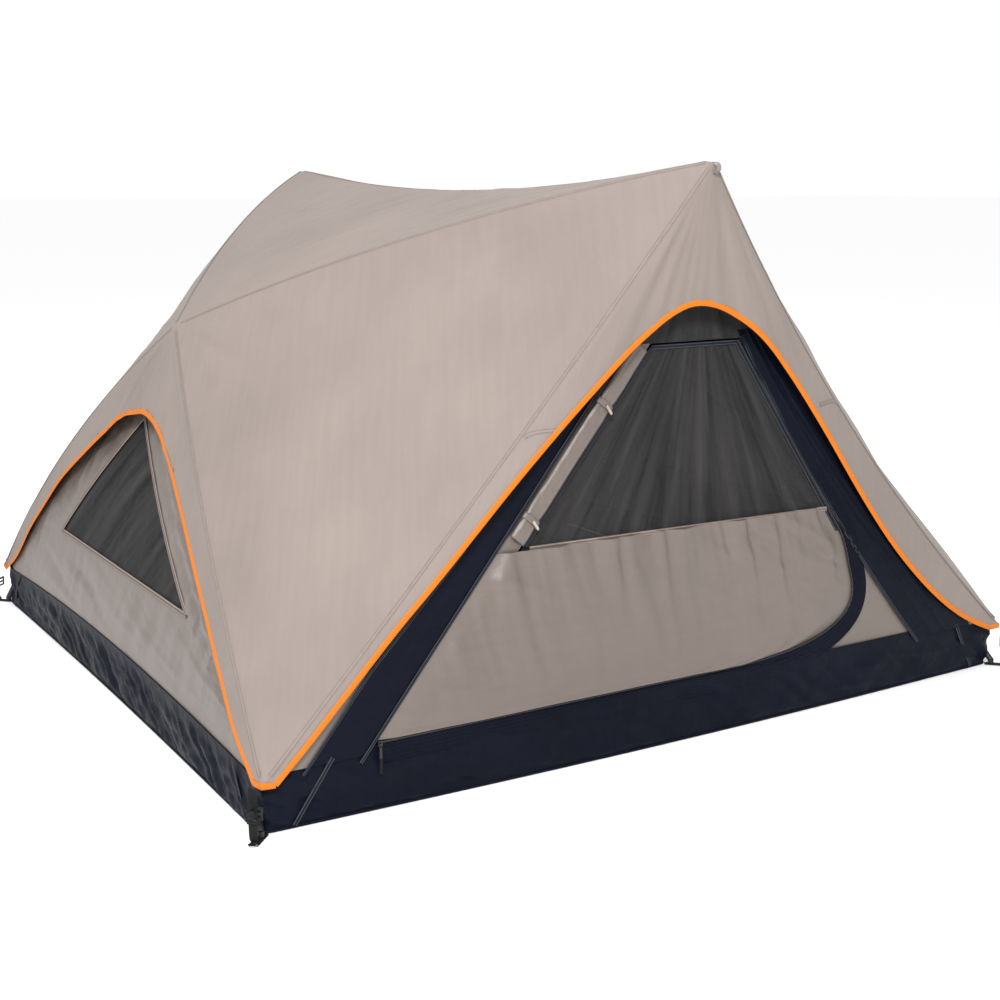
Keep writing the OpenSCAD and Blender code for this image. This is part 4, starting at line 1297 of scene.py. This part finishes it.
def outline(half_x, half_y, bow_x, bow_y, rounding, n):
    """Rounded rectangle whose sides bow in between its corners, starting at the front left."""
    t = np.linspace(0, 1, n, endpoint=False)
    sag = np.sin(math.pi * t)
    front = np.stack([-half_x + 2 * half_x * t, -half_y + bow_y * sag], -1)
    right = np.stack([half_x - bow_x * sag, -half_y + 2 * half_y * t], -1)
    p = np.concatenate([front, right, -front, -right])
    keep = p.copy()
    for _ in range(rounding):
        p = (np.roll(p, 1, 0) + p * 2 + np.roll(p, -1, 0)) / 4
    off = np.minimum(np.abs(np.abs(keep) - [half_x, half_y]), 1)
    w = smooth(1 - off.sum(1) / 0.10)[:, None]
    return keep * (1 - w) + p * w


def build_tub():
    n, rows = 360, 22
    low = outline(1.193, 1.138, 0.010, -0.027, 14, n)
    top = outline(1.192, 1.152, 0.004, -0.013, 14, n)
    s = np.arange(4 * n) / n
    side = (s.astype(int) % 2).astype(float)
    u = s % 1
    height = np.where(side > 0.5, tub_side_top(1.155 * (2 * u - 1)), TUB_H + 0.012)
    height = np.convolve(np.concatenate([height[-12:], height, height[:12]]), np.ones(25) / 25, "valid")
    t = np.linspace(0, 1, rows)
    base = low[:, None] * (1 - t)[None, :, None] + top[:, None] * t[None, :, None]
    z = 0.004 + (height[:, None] - 0.004) * t[None, :]
    p = np.concatenate([base, z[..., None]], -1)
    tang = unit(np.roll(low, -1, 0) - np.roll(low, 1, 0))
    out = np.concatenate([np.stack([tang[:, 1], -tang[:, 0]], -1), np.zeros((4 * n, 1))], -1)
    dist = s * TUB_SIDE
    a = dist[:, None]
    slope = folds(a + 1.4 * z, a * 0.2 - z, 0.055, 0.30, 500)
    along = folds(z + 0.12 * a, a, 0.034, 0.42, 510)
    deep = folds(a - 0.9 * z, z, 0.14, 0.5, 520)
    mask = smooth(t / 0.12) * smooth((1 - t) / 0.40)
    lift = mask[None, :] * (0.0120 * slope + 0.0100 * along + 0.0080 * deep)
    p = p + out[:, None] * lift[..., None]
    p = np.concatenate([p, p[:1]])
    uv = np.stack(np.broadcast_arrays(np.append(dist, 4 * TUB_SIDE)[:, None], t[None, :] * TUB_H), -1)
    store = Patches()
    store.grid(p, uv)
    sides = ["bathtub_" + side_name for side_name in ("front", "back", "left", "right", "corners")]
    tub = sewn(store, "tub_wall", "navy", nodes=sides, weld=1e-6)
    # floor inside the tub
    m = 90
    w = np.linspace(-1, 1, m)
    gx, gy = np.meshgrid(w * 1.155, w * 1.118, indexing="ij")
    gz = 0.006 + 0.0025 * folds(gx, gy, 0.22, 0.6, 530) + 0.002 * folds(gy, gx, 0.15, 0.5, 531)
    store = Patches()
    store.grid(np.stack([gx, gy, np.maximum(gz, 0.003)], -1))
    floor = sewn(store, "floor_cloth", "navy", nodes=["floor_sheet"], weld=1e-6)
    # rolled hem where the wall meets the ground, and piping at the wall's top
    store = Patches()
    for path, rad, up in ((np.concatenate([low, np.full((4 * n, 1), 0.0042)], -1), 0.0034, 0),
                          (np.concatenate([top, height[:, None]], -1), 0.0026, 1)):
        nrm = out + v3(0, 0, 0.2 * up)
        pts, uv = tube(path + out * 0.001, unit(nrm), rad, rad * 0.8, 10, closed=True)
        store.grid(pts, uv)
    sewn(store, "tub_hems", "navy")
    # doubled panel round each corner, with its two rows of stitches
    store = Patches()
    for c in range(4):
        for d in (-1, 1):
            i0 = (c * n + d * 26) % (4 * n)
            i1 = (c * n + d * 12) % (4 * n)
            q = np.linspace(0, 1, 30)
            lowp = np.array([*low[i1], 0.008])
            topp = np.array([*top[i0], height[i0] - 0.004])
            line = lowp + (topp - lowp) * q[:, None] + out[i0] * 0.0065
            ribbon(store, line, np.tile(out[i0], (30, 1)), 0.013, 0.0, 0.001)
    sewn(store, "corner_stitching", "navy_seam")


# ---------------------------------------------------------------- webbing at the corners and peaks

STRAP_LEAN = 3


def strap(points, across, wide, thick, store, n):
    """Webbing strap along a path; across is the direction of its width."""
    line = smoothed(resample(points, n), 4)
    tang = unit(np.gradient(line, axis=0))
    nrm = unit(np.cross(tang, np.tile(unit(across), (n, 1))))
    a = np.linspace(0, 2 * math.pi, 17)
    ca, sa = np.cos(a), np.sin(a)
    cx = np.sign(ca) * np.abs(ca) ** 0.4 * wide / 2
    cy = np.sign(sa) * np.abs(sa) ** 0.6 * thick / 2
    pts = line[:, None] + unit(across) * cx[None, :, None] + nrm[:, None] * cy[None, :, None]
    first, last = (np.repeat(pts[i].mean(0)[None], 17, 0) for i in (0, -1))
    store.grid(np.concatenate([[first], pts, [last]]))


def corner_frame(sx, sy):
    """Foot of the pole at one corner, with the directions out along the diagonal and across it."""
    foot = flip(v3(-HALF_W + 0.002, -HALF_L + 0.018, 0), sx, sy)
    out = unit(v3(-sx, -sy, 0))
    return foot, out, v3(-out[1], out[0], 0)


def build_webbing():
    store = Patches()
    for sx in (1, -1):
        for sy in (1, -1):
            foot, out, across = corner_frame(sx, sy)
            up = v3(0, 0, 1)
            lean = -math.sin(math.radians(STRAP_LEAN))
            at = lambda r, z: foot + out * (r + (z - 0.007) * lean) + up * z
            # from the fly's corner down to the buckle, round its lower bar and back
            strap([at(0.044, 0.132), at(0.0445, 0.100), at(0.0450, 0.078)], across, 0.021, 0.0018, store, 30)
            strap([at(0.0455, 0.076), at(0.0500, 0.070), at(0.0545, 0.078), at(0.0620, 0.090)],
                  across, 0.021, 0.0022, store, 50)
            # its loose tail, twisted and standing out
            twist = unit(across * 0.55 + up * 0.62 - out * 0.55)
            strap([at(0.0615, 0.089), at(0.0655, 0.098), at(0.0710, 0.104), at(0.0770, 0.106)],
                  twist, 0.019, 0.0022, store, 30)
            # from the anchor up to the buckle
            strap([at(0.0330, 0.0055), at(0.040, 0.012), at(0.0430, 0.030), at(0.0445, 0.056),
                   at(0.0500, 0.062), at(0.0530, 0.054)], across, 0.021, 0.0018, store, 50)
            # anchor tab on the ground, folded round the eyelet
            strap([foot - out * 0.018 + up * 0.0022, foot + out * 0.010 + up * 0.0020,
                   foot + out * 0.034 + up * 0.0020, foot + out * 0.0455 + up * 0.0022], across, 0.024,
                  0.0022, store, 40)
            # loose loop at the tip
            q = np.linspace(0, 2 * math.pi, 40)
            loop = foot[None] + out * (0.043 + 0.0075 * (1 - np.cos(q)))[:, None] \
                + across * (0.0085 * np.sin(q))[:, None] + up * (0.0035 + 0.0025 * (1 - np.cos(q)))[:, None]
            strap(loop, up, 0.0045, 0.0016, store, 60)
    sewn(store, "corner_webbing", "webbing", nodes=["fly_straps", "corner_anchors"])
    # fabric tab loop at the outside of each peak
    store = Patches()
    for sy in (1, -1):
        top = flip(PEAK, 1, sy)
        q = np.linspace(0, 1, 30)
        loop = np.stack([0 * q, top[1] - sy * 0.016 * np.sin(math.pi * q), 1.492 - 0.026 * q
                         + 0.003 * np.sin(2 * math.pi * q)], -1)
        strap(loop, v3(1, 0, 0), 0.013, 0.0018, store, 40)
    sewn(store, "peak_loops", "fly", nodes=["peak_tabs"])


def dress_cad():
    """Materials of the hard parts that keep their CAD shape."""
    finish = {"pole_legs": "pole", "pole_arms": "pole", "pole_ferrules": "steel", "shoulder_hubs": "plastic",
              "crown_elbows": "plastic", "foot_tips": "plastic", "shock_cords": "elastic",
              "hang_clips": "plastic", "ladder_buckles": "plastic", "peg_eyelets": "steel"}
    MAT["elastic"] = webbing_material("shock_cord", (0.35, 0.35, 0.36), 0.0012)
    for node, key in finish.items():
        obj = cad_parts[node]
        obj.data.materials.clear()
        obj.data.materials.append(MAT[key])


# ---------------------------------------------------------------- everything, in order

build_camera()
build_stage()
build_materials()
lower_edges = build_fly()
build_binding(lower_edges)
build_fly_seams(bpy.data.objects["fly_shell"])
for end_index in (0, 1):
    build_end(end_index)
build_side(1, "left")
build_side(-1, "right")
build_inner_top()
build_tub()
build_webbing()
dress_cad()
